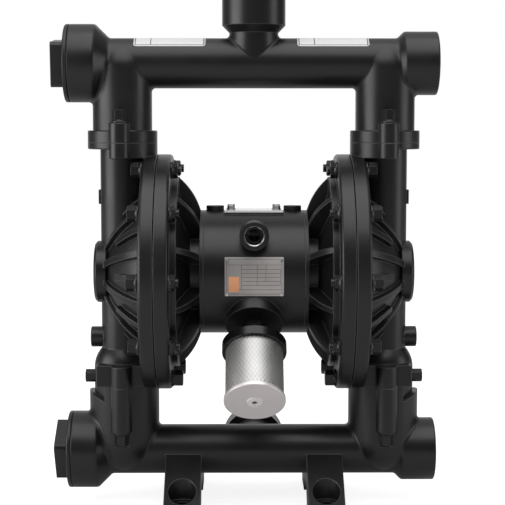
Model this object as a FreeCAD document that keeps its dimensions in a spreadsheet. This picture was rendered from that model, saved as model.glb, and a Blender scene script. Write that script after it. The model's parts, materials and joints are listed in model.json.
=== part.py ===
# Air-operated double diaphragm pump with two-inch threaded ports, in millimetres.
# Frame: the origin is the centre of the four foot holes on the floor plane, +Z is up,
# +X runs along the pump axis to the open ports, and -Y is the front with the air inlet.
# Sizes live in the spreadsheet, and every sub-part is bound to them by expressions.

import FreeCAD, Part
import Sketcher
import math
import os
import re

Vector = FreeCAD.Vector
Rotation = FreeCAD.Rotation

doc = FreeCAD.newDocument("DiaphragmPump")

# Driving dimensions
DIMENSIONS = {
    # heights
    "suctionHeight": 65,
    "suctionRise": 87,
    "chamberCut": 8,
    "upperJointClear": 14.5,
    "dischargeRise": 97.5,
    # lengths along the pump axis, from the middle outwards
    "hubFace": 61.4,
    "airConeLength": 39.1,
    "airFlangeThickness": 17,
    "flangeGap": 1.2,
    "fluidFlangeThickness": 17.3,
    "columnClearance": 0.8,
    # manifold tubes and their ends
    "tubeRadius": 30.75,
    "tubeBore": 24,
    "plugCollarRadius": 48,
    "plugCollarOut": 32.5,
    "plugCollarLength": 32,
    "openCollarRadius": 39,
    "openCollarOut": 22.5,
    "openCollarLength": 41,
    "collarEdge": 2,
    "collarBlend": 6,
    "castBlend": 4.5,
    "neckRadius": 30.2,
    "neckLength": 37,
    "neckConeLength": 9,
    "teeLength": 89,
    "portTapRadius": 28.33,
    "portTapDepth": 24,
    # square-headed port plugs
    "plugFlangeThickness": 5,
    "plugThreadClearance": 0.13,
    "plugThreadLength": 22,
    "plugSquare": 55,
    "plugSquareCorner": 36.5,
    "plugSquareLength": 16,
    "dischargePlugTurn": 6,
    "suctionPlugTurn": 31,
    # upper elbows and joint
    "elbowWall": 5.4,
    "elbowCrown": 28,
    "manifoldFlangeRadius": 43,
    "manifoldFlangeThickness": 15,
    "chamberFlangeThickness": 8,
    "upperBossAbove": 24.5,
    "manifoldBossRadius": 13,
    "bossFloor": 3.5,
    "castEdge": 1.5,
    "manifoldBoltOut": 7,
    # lower elbows and joint
    "lowerElbowWall": 6.2,
    "lowerNotchDepth": 20.4,
    "lowerNotchRim": 10,
    "lowerNotchStart": 22,
    "lowerBossLength": 56,
    "spotfaceRim": 1.1,
    "spotfaceDepth": 20,
    # check valves
    "ballRadius": 25,
    "ballLift": 8,
    "ballRestGap": 0.3,
    "ballStopGap": 0.4,
    "seatBore": 20,
    "seatRadius": 31,
    "seatThickness": 12,
    "seatSunk": 4,
    "seatClearance": 0.2,
    "seatBevel": 4,
    "seatRingStep": 3,
    "seatRingRadius": 1.4,
    "stopRibThickness": 6,
    "stopRibHeight": 11,
    # risers and ball housings of the fluid chambers
    "riserBore": 20.5,
    "riserWall": 7.2,
    "housingWall": 6,
    "housingShoulder": 14.8,
    "footBlockOver": 2,
    "footBlockThickness": 26,
    "footBlockOut": 31,
    "riserPadDrop": 67,
    "riserPadSize": 17.5,
    "riserPadProud": 2,
    "castBossRise": 56,
    "castBossRadius": 12.8,
    "castBossOut": 41,
    "drainLugHeight": 22.5,
    "drainLugWidth": 18,
    "drainLugOut": 32.5,
    "drainOffset": 27,
    "drainAcross": 14,
    "drainHeadLength": 13,
    "drainThreadRadius": 4.5,
    "drainThreadLength": 6,
    # chamber flanges, from the rim inwards
    "flangeRadius": 146,
    "flangeEdge": 4,
    "boltInset": 12,
    "seamInset": 18,
    "diaphragmEdgeGap": 1,
    "beadInset": 3,
    "beadWidth": 6,
    "beadDepth": 2,
    "beadLand": 7,
    # fluid dome
    "domeRimInset": 7,
    "domeEndOut": 19.5,
    "domeEndRadius": 30,
    "domeCurve": 150,
    "domeWall": 11,
    "endDiscRadius": 38.4,
    "endDiscOut": 34.5,
    "endDiscChamfer": 3,
    "ribRimHeight": 10,
    "ribEndHeight": 4,
    "ribCurve": 145,
    "ribRoot": 6,
    "shortRibDrop": 14.2,
    "shortRibOut": 38.9,
    "fluidRibThickness": 8,
    "fluidCavityRadius": 28,
    "fluidCavityCurve": 260,
    "cavityEndWall": 6,
    "fluidCavityEndRadius": 22,
    "ribCount": 10,
    # air chamber
    "hubRimLength": 4.6,
    "hubStep": 20.6,
    "hubLength": 16.6,
    "airRingInset": 16,
    "airRingLength": 8,
    "airRingStep": 20,
    "airCavityDepth": 31.5,
    "airFloorStep": 34,
    "airCavityRim": 13.5,
    "airCavityInset": 3,
    "airRibStep": 1,
    "airRibCurve": 85,
    "airRibThickness": 7,
    # centre body
    "centreRadius": 76.6,
    "bossRoot": 40,
    "topPadHalfDepth": 25,
    "topPadDrop": 1.6,
    "coverMargin": 1.5,
    "coverThickness": 2.5,
    "coverScrewInset": 7.3,
    "coverScrewRadius": 2.5,
    "coverScrewAcross": 8,
    "coverScrewHeadHeight": 5.5,
    "coverWasherRadius": 5.5,
    "coverWasherHeight": 1,
    "coverScrewDepth": 8,
    "topPlugInset": 13.4,
    "topPlugRadius": 11,
    "topPlugClearance": 1,
    "topPlugHeight": 7,
    "plugEdge": 1,
    "topPlugSunk": 1.1,
    "topPlugThread": 5,
    "topPlugThreadLength": 9,
    "inletHeight": 50,
    "inletBossRadius": 17.5,
    "inletProud": 5.4,
    "inletTapRadius": 12.06,
    "inletTapDepth": 16,
    "inletPassage": 8,
    # nameplate
    "plateHalfLength": 35.5,
    "plateHalfHeight": 23.5,
    "plateRise": 1,
    "plateThickness": 0.8,
    "plateRivetAngle": 15.5,
    "plateRivetInset": 2.8,
    "plateRivetRadius": 1.8,
    "plateRivetHeight": 1,
    # exhaust muffler
    "mufflerAngle": 45,
    "exhaustPadRadius": 35,
    "exhaustPadProud": 7.4,
    "exhaustPassage": 20,
    "mufflerStemRadius": 13,
    "mufflerStemHex": 27,
    "mufflerStemHexLength": 9,
    "mufflerStemThread": 12,
    "mufflerStemBore": 9,
    "mufflerNeckLength": 29.7,
    "mufflerCapLength": 11.5,
    "mufflerCapRadius": 38.75,
    "mufflerFlatDepth": 3.25,
    "mufflerMeshLength": 66.8,
    "mufflerMeshRadius": 34.5,
    "mufflerMeshThickness": 1.5,
    "mufflerEndLength": 4.5,
    "mufflerEndRadius": 36.25,
    "mufflerEndEdge": 1,
    "mufflerEyeletRadius": 9.25,
    "mufflerEyeletHole": 3.2,
    "mufflerEyeletProud": 1.2,
    "mufflerCoreRadius": 8.5,
    "mufflerCoreBore": 6,
    # diaphragms
    "diaphragmThickness": 4,
    "rollGap": 5,
    "rollEdge": 1,
    "rollDepth": 7.24,
    "softGap": 0.3,
    # diaphragm rod and plates
    "rodStroke": 14,
    "rodRadius": 11,
    "rodStudRadius": 8,
    "rodStudOut": 3,
    "plateRadius": 57,
    "innerPlateThickness": 9.8,
    "outerPlateThickness": 9.6,
    "plateEdge": 4,
    "rodNutAcross": 27,
    "rodNutThickness": 10,
    "runningClearance": 0.05,
    "rodBodyClearance": 1,
    "bushRadius": 15,
    "sealLength": 8,
    # pilot rod
    "pilotStroke": 4,
    "pilotOffset": 30,
    "pilotRadius": 4,
    # air valve
    "valveDepth": 30.6,
    "valveSetback": 6,
    "sleeveRadius": 17,
    "sleeveHalf": 41,
    "sleevePort": 5,
    "sleevePortPitch": 16,
    "spoolStroke": 6.5,
    "spoolEndGap": 0.5,
    "spoolRadius": 11,
    "spoolWaist": 7,
    "spoolLand": 12,
    "endCapLength": 8,
    # bolts and nuts
    "boltCount": 10,
    "boltRadius": 5,
    "boltClearance": 0.5,
    "boltAcross": 17,
    "boltHeadHeight": 13.5,
    "washerRim": 1.9,
    "washerHeight": 1.5,
    "washerCone": 2.2,
    "headChamfer": 0.4,
    "nutHeight": 8,
    "boltStudOut": 4,
    "tappedDepth": 12.3,
    "screwEndGap": 1,
    "screwClearance": 0.25,
    "manifoldBoltAcross": 15,
    "manifoldHeadHeight": 16,
    "manifoldWasherRim": 2.5,
    "manifoldScrewDepth": 16,
    # screws that hold the air chambers to the centre body
    "hubScrewCircle": 47,
    "hubScrewRadius": 4,
    "hubScrewHead": 6.5,
    "hubScrewHeadHeight": 6,
    "hubScrewSunk": 0.5,
    "hubScrewReach": 19.4,
    "hubScrewCount": 4,
    # feet
    "footHalfX": 87.5,
    "footHalfY": 80,
    "footWidth": 44,
    "footPadEnd": 20,
    "footPadHeight": 16,
    "footArchHalf": 44,
    "footArchTop": 20,
    "footHoleRadius": 6.75,
    "footScallopRadius": 17,
    # how far a cutting tool runs past the face that it opens
    "cutOver": 1,
}

# Places and sizes that follow from the driving dimensions
DERIVED = {
    # heights
    "lowerJointHeight": "suctionHeight + suctionRise",
    "axisHeight": "lowerJointHeight + flangeRadius - chamberCut",
    "upperJointHeight": "axisHeight + flangeRadius + upperJointClear",
    "dischargeHeight": "upperJointHeight + dischargeRise",
    # chamber flanges along the pump axis, and the columns beside them
    "airFlangeStart": "hubFace + airConeLength",
    "airFlangeEnd": "airFlangeStart + airFlangeThickness",
    "fluidFlangeStart": "airFlangeEnd + flangeGap",
    "fluidFlangeEnd": "fluidFlangeStart + fluidFlangeThickness",
    "columnHalf": "fluidFlangeStart + columnClearance + manifoldFlangeRadius",
    "seam": "(airFlangeEnd + fluidFlangeStart) / 2",
    # manifolds
    "plugCollarStart": "columnHalf + plugCollarOut",
    "openCollarStart": "columnHalf + openCollarOut",
    "plugThreadRadius": "portTapRadius - plugThreadClearance",
    "elbowRadius": "seatPocket + elbowWall",
    "elbowTop": "dischargeHeight + elbowCrown",
    "upperBossBelow": "manifoldScrewDepth + bossFloor",
    "manifoldBoltOffset": "manifoldFlangeRadius + manifoldBoltOut",
    "lowerElbowRadius": "housingRadius + lowerElbowWall",
    "lowerElbowCentre": "suctionHeight - elbowCrown + lowerElbowRadius",
    "lowerBossBottom": "lowerJointHeight - lowerBossLength",
    "spotfaceRadius": "manifoldWasherRadius + spotfaceRim",
    "footHalfLength": "footHalfY + footPadEnd",
    # check valves
    "ballRise": "sqrt((ballRadius + ballRestGap) ^ 2 - seatBore ^ 2)",
    "lowerSeatTop": "lowerJointHeight",
    "upperSeatTop": "upperJointHeight + seatThickness - seatSunk",
    "seatPocket": "seatRadius + seatClearance",
    # risers, ball housings and what stands on them
    "riserRadius": "riserBore + riserWall",
    "housingRadius": "seatPocket + housingWall",
    "housingTop": "lowerSeatTop + ballRise + ballLift + sqrt(2) * (ballRadius + ballStopGap) - seatPocket",
    "housingShoulderTop": "housingTop + housingShoulder",
    "footBlockHalfDepth": "manifoldFlangeRadius + footBlockOver",
    "footBlockOuter": "columnHalf + footBlockOut",
    "riserPadHeight": "upperJointHeight - riserPadDrop",
    "castBossHeight": "lowerJointHeight + castBossRise",
    "castBossEnd": "columnHalf + castBossOut",
    "drainHeight": "lowerJointHeight + drainLugHeight / 2",
    "drainFace": "columnHalf + drainLugOut",
    # chamber flanges, from the rim inwards
    "boltCircle": "flangeRadius - boltInset",
    "seamLand": "boltCircle - seamInset",
    "diaphragmRadius": "seamLand - diaphragmEdgeGap",
    "beadOuter": "diaphragmRadius - beadInset",
    "beadInner": "beadOuter - beadWidth",
    "cavityRadius": "beadInner - beadLand",
    # fluid dome
    "domeRimRadius": "cavityRadius - domeRimInset",
    "domeEndX": "columnHalf + domeEndOut",
    "endDiscEnd": "columnHalf + endDiscOut",
    "ribRimRadius": "domeRimRadius + ribRimHeight",
    "ribEndX": "domeEndX + ribEndHeight",
    "ribEndRadius": "domeEndRadius + ribEndHeight",
    "shortRibEndX": "domeEndX - shortRibDrop",
    "shortRibEndRadius": "domeEndRadius + shortRibOut",
    "fluidCavityX": "domeEndX - domeWall",
    "fluidCavityEnd": "domeEndX - cavityEndWall",
    # air chamber
    "hubRimEnd": "hubFace + hubRimLength",
    "hubEnd": "hubFace + hubLength",
    "hubRadius": "centreRadius - hubStep",
    "airRingRadius": "boltCircle - airRingInset",
    "airRingStart": "airFlangeStart - airRingLength",
    "airConeRadius": "airRingRadius - airRingStep",
    "airRibRimRadius": "airRingRadius - airRibStep",
    "airFloor": "airFlangeEnd - airCavityDepth",
    "airCavityX": "airFlangeEnd - airCavityRim",
    "airCavityRadius": "cavityRadius - airCavityInset",
    "airFloorRadius": "airCavityRadius - airFloorStep",
    # centre body
    "topPlugX": "hubFace - topPlugInset",
    "topPlugSeat": "centreRadius - topPlugSunk",
    "topPadHalfLength": "topPlugX - topPlugRadius",
    "topPadHeight": "centreRadius - topPadDrop",
    "coverHalfLength": "topPadHalfLength - coverMargin",
    "coverHalfDepth": "topPadHalfDepth - coverMargin",
    "inletFace": "centreRadius + inletProud",
    "exhaustPadFace": "centreRadius + exhaustPadProud",
    # exhaust muffler
    "mufflerCapStart": "exhaustPadFace + mufflerNeckLength",
    "mufflerCapEnd": "mufflerCapStart + mufflerCapLength",
    "mufflerCapFlat": "mufflerCapRadius - mufflerFlatDepth",
    "mufflerEndStart": "mufflerCapEnd + mufflerMeshLength",
    "mufflerEndFace": "mufflerEndStart + mufflerEndLength",
    # diaphragms, rod and plates
    "diaphragmAirSide": "seam - diaphragmThickness / 2",
    "diaphragmFluidSide": "seam + diaphragmThickness / 2",
    "rollInner": "plateRadius + rollGap",
    "rollOuter": "cavityRadius - rollEdge",
    "rollCurve": "((rollOuter - rollInner) ^ 2 / 4 + rollDepth ^ 2) / (2 * rollDepth)",
    "innerPlateStart": "diaphragmAirSide - softGap - innerPlateThickness",
    "outerPlateStart": "diaphragmFluidSide + softGap",
    "rodNutStart": "outerPlateStart + outerPlateThickness",
    "rodStudEnd": "rodNutStart + rodNutThickness + rodStudOut",
    "bushEnd": "airFloor - sealLength",
    "pilotEnd": "innerPlateStart - rodStroke + pilotStroke - softGap",
    # air valve
    "valveRise": "centreRadius - valveDepth",
    "spoolHalf": "sleeveHalf - spoolStroke - spoolEndGap",
    # bolts and screws
    "boltHoleRadius": "boltRadius + boltClearance",
    "boltWasherRadius": "boltAcross / 2 + washerRim",
    "manifoldWasherRadius": "manifoldBoltAcross / 2 + manifoldWasherRim",
    "tappedScrewEnd": "fluidFlangeStart + tappedDepth",
    "hubScrewEnd": "hubFace - hubScrewReach",
}

sizes = doc.addObject("Spreadsheet::Sheet", "Sizes")
for row, (alias, value) in enumerate(DIMENSIONS.items(), start=1):
    sizes.set("A%d" % row, alias)
    sizes.set("B%d" % row, str(value))
    sizes.setAlias("B%d" % row, alias)
doc.recompute()


def bound(expression):
    """Write the sheet's name before each size, and each derived size as its own formula."""
    def spell(word):
        text = word.group()
        if text in DERIVED:
            return "(" + bound(DERIVED[text]) + ")"
        return "Sizes." + text if text in DIMENSIONS else text

    return re.sub(r"[A-Za-z]\w*", spell, expression)


def value(expression):
    """Work out an expression of sizes as a number."""
    return float(sizes.evalExpression(bound(expression)))


# Helpers for primitives: each takes expressions, and the start point as three of them.
TURNS = {
    "x": Rotation(Vector(0, 1, 0), 90),
    "left": Rotation(Vector(0, 1, 0), -90),
    "y": Rotation(Vector(1, 0, 0), -90),
    "front": Rotation(Vector(1, 0, 0), 90),
    "z": Rotation(),
    "down": Rotation(Vector(1, 0, 0), 180),
}
STEPS = {"x": (0, "+"), "left": (0, "-"), "y": (1, "+"), "front": (1, "-"), "z": (2, "+"), "down": (2, "-")}


def put(thing, at, direction="z"):
    """Turn a thing's own Z to a direction and bind its start point."""
    thing.Placement = FreeCAD.Placement(Vector(), TURNS[direction])
    for key, expression in zip("xyz", at):
        thing.setExpression("Placement.Base." + key, bound(expression))
    return thing


def further(at, direction, distance):
    """The place at a distance from a start point, along a direction."""
    index, sign = STEPS[direction]
    moved = list(at)
    moved[index] = "%s %s (%s)" % (at[index], sign, distance)
    return tuple(moved)


def putRadial(thing, angle, distance, x="0"):
    """Point a thing's own Z away from the pump axis, at an angle above straight front."""
    thing.Placement = FreeCAD.Placement(Vector(), Rotation(Vector(1, 0, 0), 90 - value(angle)))
    thing.setExpression("Placement.Rotation.Angle", bound("90 - (%s)" % angle))
    thing.setExpression("Placement.Base.x", bound(x))
    thing.setExpression("Placement.Base.y", bound("-cos(%s) * (%s)" % (angle, distance)))
    thing.setExpression("Placement.Base.z", bound("axisHeight + sin(%s) * (%s)" % (angle, distance)))
    return thing


def sized(kind, **properties):
    """Make a primitive with its sizes bound."""
    thing = doc.addObject("Part::" + kind, kind)
    for key, expression in properties.items():
        thing.setExpression(key, bound(expression))
    return thing


def cylinder(radius, length, at, direction="z"):
    return put(sized("Cylinder", Radius=radius, Height=length), at, direction)


def cone(startRadius, endRadius, length, at, direction="z"):
    return put(sized("Cone", Radius1=startRadius, Radius2=endRadius, Height=length), at, direction)


def box(lengthX, lengthY, lengthZ, at):
    return put(sized("Box", Length=lengthX, Width=lengthY, Height=lengthZ), at)


def sphere(radius, at):
    return put(sized("Sphere", Radius=radius), at)


def torus(major, minor, at):
    return put(sized("Torus", Radius1=major, Radius2=minor), at)


def hexagon(across, length, at, direction="z"):
    """A hexagonal prism, sized by the distance across its flats."""
    prism = sized("Prism", Circumradius="(%s) / 2 / cos(30)" % across, Height=length)
    prism.Polygon = 6
    return put(prism, at, direction)


def flangedHead(across, washerRadius, height, at, direction="z"):
    """A hex head with a chamfered top, on its own washer with a conical face."""
    tip = "(%s) / 2 - headChamfer" % across
    return fused(
        cylinder(washerRadius, "washerHeight", at, direction),
        cone(washerRadius, "(%s) / 2" % across, "washerCone", further(at, direction, "washerHeight"), direction),
        common(
            hexagon(across, height, at, direction),
            cone("%s + (%s) * sqrt(3)" % (tip, height), tip, height, at, direction),
        ),
    )


def rounded(thing, radius, ends="both"):
    """Round the circular edges of a cylinder at one end or both."""
    doc.recompute([thing])
    circles = [index for index, edge in enumerate(thing.Shape.Edges, start=1)
               if isinstance(edge.Curve, Part.Circle)]
    circles.sort(key=lambda index: thing.Shape.Edges[index - 1].CenterOfMass.distanceToPoint(
        thing.Placement.Base))
    wanted = {"both": circles, "start": circles[:1], "end": circles[-1:]}[ends]
    fillet = doc.addObject("Part::Fillet", "Rounded")
    fillet.Base = thing
    fillet.Edges = [(index, value(radius), value(radius)) for index in wanted]
    return fillet


def blended(thing, radius, wanted):
    """Round the curved edges of a casting that a test of their centre picks."""
    doc.recompute([thing])
    places = [index for index, edge in enumerate(thing.Shape.Edges, start=1)
              if not edge.Degenerated and isinstance(edge.Curve, Part.BSplineCurve) and wanted(edge.CenterOfMass)]
    fillet = doc.addObject("Part::Fillet", "Blended")
    fillet.Base = thing
    fillet.Edges = [(index, value(radius), value(radius)) for index in places]
    return fillet


def fused(*parts):
    joint = doc.addObject("Part::MultiFuse", "Fused")
    joint.Shapes = list(parts)
    joint.Refine = True
    return joint


def cut(base, *tools):
    result = doc.addObject("Part::Cut", "Cut")
    result.Base = base
    result.Tool = tools[0] if len(tools) == 1 else fused(*tools)
    result.Refine = True
    return result


def common(first, second):
    overlap = doc.addObject("Part::MultiCommon", "Common")
    overlap.Shapes = [first, second]
    return overlap


def group(*solids):
    """Separate solids that share a node."""
    together = doc.addObject("Part::Compound", "Group")
    together.Links = list(solids)
    return together


def mirrored(source):
    """The same piece on the other side of the pump's middle plane."""
    image = doc.addObject("Part::Mirroring", "Mirrored")
    image.Source = source
    image.Normal = Vector(1, 0, 0)
    return image


def bothSides(source):
    return group(source, mirrored(source))


# Helpers for sketched bodies
def originFeature(body, role):
    return next(feature for feature in body.Origin.OriginFeatures if feature.Role == role)


def sketchOn(body, plane, corners):
    """Draw a closed outline on one of a body's own planes.

    A corner is (x, y), or (x, y, radius, side) where an arc leaves it for the next corner.
    The side is 1 where the arc bulges to the left of the way along the outline, or -1.
    """
    sketch = body.newObject("Sketcher::SketchObject", "Outline")
    sketch.AttachmentSupport = [(originFeature(body, plane), "")]
    sketch.MapMode = "FlatFace"
    points = [Vector(value(corner[0]), value(corner[1]), 0) for corner in corners]
    starts = []
    ends = []
    for index, corner in enumerate(corners):
        here = points[index]
        there = points[(index + 1) % len(points)]
        if len(corner) == 2:
            sketch.addGeometry(Part.LineSegment(here, there))
            starts.append((index, 1))
            ends.append((index, 2))
            continue
        radius = value(corner[2])
        side = corner[3]
        chord = there - here
        left = Vector(-chord.y, chord.x, 0).normalize()
        rise = radius - math.sqrt(radius ** 2 - chord.Length ** 2 / 4)
        middle = (here + there) / 2 + left * (side * rise)
        sketch.addGeometry(Part.Arc(here, middle, there))
        starts.append((index, 2 if side > 0 else 1))
        ends.append((index, 1 if side > 0 else 2))
    for index, corner in enumerate(corners):
        sketch.addConstraint(Sketcher.Constraint("Coincident", *ends[index - 1], *starts[index]))
        for kind, axis, expression in (("DistanceX", -2, corner[0]), ("DistanceY", -1, corner[1])):
            if expression == "0":
                sketch.addConstraint(Sketcher.Constraint("PointOnObject", *starts[index], axis))
                continue
            number = sketch.addConstraint(
                Sketcher.Constraint(kind, -1, 1, *starts[index], value(expression))
            )
            sketch.setExpression("Constraints[%d]" % number, bound(expression))
        if len(corner) > 2:
            number = sketch.addConstraint(Sketcher.Constraint("Radius", index, value(corner[2])))
            sketch.setExpression("Constraints[%d]" % number, bound(corner[2]))
    return sketch


def newBody(height="axisHeight"):
    body = doc.addObject("PartDesign::Body", "Body")
    body.setExpression("Placement.Base.z", bound(height))
    return body


def revolve(body, corners):
    """Turn an outline of (along X, radius) corners about the pump axis."""
    sketch = sketchOn(body, "XZ_Plane", corners)
    turned = body.newObject("PartDesign::Revolution", "Revolution")
    turned.Profile = sketch
    turned.ReferenceAxis = (sketch, ["H_Axis"])
    turned.Angle = 360
    body.Tip = turned
    return turned


def ribs(body, corners, thickness):
    """Pad one rib outline about its middle plane and repeat it around the pump axis."""
    sketch = sketchOn(body, "XZ_Plane", corners)
    rib = body.newObject("PartDesign::Pad", "Rib")
    rib.Profile = sketch
    rib.SideType = "Symmetric"
    rib.setExpression("Length", bound(thickness))
    pattern = body.newObject("PartDesign::PolarPattern", "Ribs")
    pattern.Originals = [rib]
    pattern.Axis = (originFeature(body, "X_Axis"), [""])
    pattern.Angle = 360
    pattern.setExpression("Occurrences", bound("ribCount"))
    body.Tip = pattern
    return pattern


def turnedPiece(corners, height="axisHeight"):
    body = newBody(height)
    revolve(body, corners)
    return body


pieces = []


def name(label, thing):
    """Give a sub-part the name that its file has."""
    thing.Label = label
    pieces.append(thing)
    return thing


def boltPlaces(circle, count, startAngle):
    """Expressions of (y, z) for places around the pump axis, from straight front upwards."""
    places = []
    for index in range(count):
        angle = startAngle + index * 360 / count
        places.append(("-%s * cos(%g)" % (circle, angle), "axisHeight + %s * sin(%g)" % (circle, angle)))
    return places


# Manifolds
def crossTube(height):
    """The cross tube, turned: large plugged collar on the left, open collar on the right."""
    back = "collarBlend * tan(22.5)"
    slope = "collarBlend * tan(22.5) * cos(45)"
    left = "-plugCollarStart - plugCollarLength"
    leftRise = "-plugCollarStart + plugCollarRadius - tubeRadius"
    rightRise = "openCollarStart - openCollarRadius + tubeRadius"
    right = "openCollarStart + openCollarLength"
    return turnedPiece([
        (left, "0"),
        (left, "plugCollarRadius - collarEdge", "collarEdge", 1),
        (left + " + collarEdge", "plugCollarRadius"),
        ("-plugCollarStart - " + back, "plugCollarRadius", "collarBlend", 1),
        ("-plugCollarStart + " + slope, "plugCollarRadius - " + slope),
        ("%s - %s" % (leftRise, slope), "tubeRadius + " + slope, "collarBlend", -1),
        ("%s + %s" % (leftRise, back), "tubeRadius"),
        ("%s - %s" % (rightRise, back), "tubeRadius", "collarBlend", -1),
        ("%s + %s" % (rightRise, slope), "tubeRadius + " + slope),
        ("openCollarStart - " + slope, "openCollarRadius - " + slope, "collarBlend", 1),
        ("openCollarStart + " + back, "openCollarRadius"),
        (right + " - collarEdge", "openCollarRadius", "collarEdge", 1),
        (right, "openCollarRadius - collarEdge"),
        (right, "0"),
    ], height)


def tee(height, turn):
    """The middle port, turned: a neck, a short cone and a collar."""
    port = turnedPiece([
        ("0", "0"),
        ("0", "neckRadius"),
        ("neckLength", "neckRadius"),
        ("neckLength + neckConeLength", "openCollarRadius"),
        ("teeLength - collarEdge", "openCollarRadius", "collarEdge", 1),
        ("teeLength", "openCollarRadius - collarEdge"),
        ("teeLength", "0"),
    ], height)
    port.Placement.Rotation = turn
    return port


def portCuts(height, direction):
    """The through bore, the tapped ends and the middle port's bore."""
    left = "-plugCollarStart - plugCollarLength"
    right = "openCollarStart + openCollarLength"
    start = ("0", "0", height)
    if direction == "z":
        mouth = ("0", "0", height + " + teeLength - portTapDepth")
    else:
        mouth = ("0", "teeLength - portTapDepth", height)
    return [
        cylinder("tubeBore", "%s - (%s)" % (right, left), (left, "0", height), "x"),
        cylinder("portTapRadius", "portTapDepth", (left, "0", height), "x"),
        cylinder("portTapRadius", "portTapDepth", (right + " - portTapDepth", "0", height), "x"),
        cylinder("tubeBore", "teeLength", start, direction),
        cylinder("portTapRadius", "portTapDepth", mouth, direction),
    ]


def frontAndBack(make):
    """The same feature at the front and the back bolt of a manifold joint."""
    return [make("manifoldBoltOffset"), make("-manifoldBoltOffset")]


def castTogether(tubes):
    """Fuse cast tubes and round the corners where they meet, between the two columns."""
    return blended(fused(*tubes), "castBlend", lambda place: abs(place.x) < value("columnHalf"))


def dischargeManifold():
    tubes = [crossTube("dischargeHeight"), tee("dischargeHeight", Rotation(Vector(0, 1, 0), -90))]
    solids = []
    cuts = portCuts("dischargeHeight", "z")
    stop = "upperSeatTop + ballRise + ballRadius + ballLift + ballStopGap"
    for x in ("columnHalf", "-columnHalf"):
        tubes += [
            cylinder("elbowRadius", "elbowTop - elbowRadius - upperJointHeight",
                     (x, "0", "upperJointHeight")),
            sphere("elbowRadius", (x, "0", "elbowTop - elbowRadius")),
        ]
        solids.append(rounded(
            cylinder("manifoldFlangeRadius", "manifoldFlangeThickness", (x, "0", "upperJointHeight")),
            "castEdge", "end"))
        solids += frontAndBack(
            lambda y: rounded(cylinder("manifoldBossRadius", "upperBossAbove", (x, y, "upperJointHeight")),
                              "castEdge", "end"))
        chamber = cylinder("seatPocket", "dischargeHeight - upperJointHeight", (x, "0", "upperJointHeight"))
        reach = "(seatPocket + cutOver)"
        half = "stopRibThickness / 2"
        cross = [
            box("2 * " + reach, "stopRibThickness", "stopRibHeight",
                ("%s - %s" % (x, reach), "-" + half, stop)),
            box("stopRibThickness", "2 * " + reach, "stopRibHeight",
                ("%s - %s" % (x, half), "-" + reach, stop)),
        ]
        cuts.append(cut(chamber, *cross))
        cuts += frontAndBack(
            lambda y: cylinder("boltHoleRadius", "upperBossAbove", (x, y, "upperJointHeight")))
    return cut(fused(castTogether(tubes), *solids), *cuts)


def foot(x):
    """One cast leg: pads front and back, slopes up to the middle of the tube and an arch beneath."""
    body = doc.addObject("PartDesign::Body", "Foot")
    body.setExpression("Placement.Base.x", bound(x))
    outline = sketchOn(body, "YZ_Plane", [
        ("footHalfLength", "0"),
        ("footHalfLength", "footPadHeight"),
        ("tubeRadius - cutOver", "suctionHeight"),
        ("-tubeRadius + cutOver", "suctionHeight"),
        ("-footHalfLength", "footPadHeight"),
        ("-footHalfLength", "0"),
        ("-footArchHalf", "0"),
        ("-footArchHalf + footArchTop", "footArchTop"),
        ("footArchHalf - footArchTop", "footArchTop"),
        ("footArchHalf", "0"),
    ])
    leg = body.newObject("PartDesign::Pad", "Leg")
    leg.Profile = outline
    leg.SideType = "Symmetric"
    leg.setExpression("Length", bound("footWidth"))
    body.Tip = leg
    return body


def suctionNotch():
    """The slanted cut on the outer side of an elbow, where the round ball housing shows."""
    bottom = "lowerJointHeight - lowerNotchDepth"
    ring = cut(
        cylinder("lowerElbowRadius + cutOver", "lowerNotchDepth", ("columnHalf", "0", bottom)),
        cylinder("housingRadius", "lowerNotchDepth", ("columnHalf", "0", bottom)),
    )
    outer = "columnHalf + lowerElbowRadius + cutOver"
    body = newBody("lowerJointHeight")
    wedge = body.newObject("PartDesign::Pad", "Wedge")
    wedge.Profile = sketchOn(body, "XZ_Plane", [
        ("columnHalf + lowerNotchStart", "0"),
        ("columnHalf + lowerNotchStart", "-lowerNotchDepth"),
        (outer, "-lowerNotchRim"),
        (outer, "0"),
    ])
    wedge.SideType = "Symmetric"
    wedge.setExpression("Length", bound("2 * lowerElbowRadius"))
    body.Tip = wedge
    return common(ring, body)


def suctionManifold():
    tubes = [crossTube("suctionHeight"), tee("suctionHeight", Rotation(Vector(0, 0, 1), 90))]
    solids = []
    notch = suctionNotch()
    cuts = portCuts("suctionHeight", "y") + [notch, mirrored(notch)]
    for x in ("columnHalf", "-columnHalf"):
        tubes += [
            cylinder("lowerElbowRadius", "lowerJointHeight - lowerElbowCentre", (x, "0", "lowerElbowCentre")),
            sphere("lowerElbowRadius", (x, "0", "lowerElbowCentre")),
        ]
        solids += frontAndBack(
            lambda y: rounded(cylinder("manifoldBossRadius", "lowerJointHeight - lowerBossBottom",
                                       (x, y, "lowerBossBottom")), "castEdge", "start"))
        cuts += frontAndBack(
            lambda y: cylinder("boltHoleRadius", "lowerJointHeight - lowerBossBottom",
                               (x, y, "lowerBossBottom")))
        cuts += frontAndBack(
            lambda y: cylinder("spotfaceRadius", "spotfaceDepth",
                               (x, y, "lowerBossBottom - spotfaceDepth")))
        cuts += [
            cylinder("seatPocket", "seatThickness", (x, "0", "lowerSeatTop - seatThickness")),
            cylinder("tubeBore", "lowerJointHeight - suctionHeight", (x, "0", "suctionHeight")),
        ]
    for x in ("footHalfX", "-footHalfX"):
        solids.append(foot(x))
        for y in ("footHalfY", "-footHalfY"):
            cuts.append(cylinder("footScallopRadius", "suctionHeight", (x, y, "footPadHeight")))
            cuts.append(cylinder("footHoleRadius", "footPadHeight", (x, y, "0")))
    return cut(fused(castTogether(tubes), *solids), *cuts)


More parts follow.
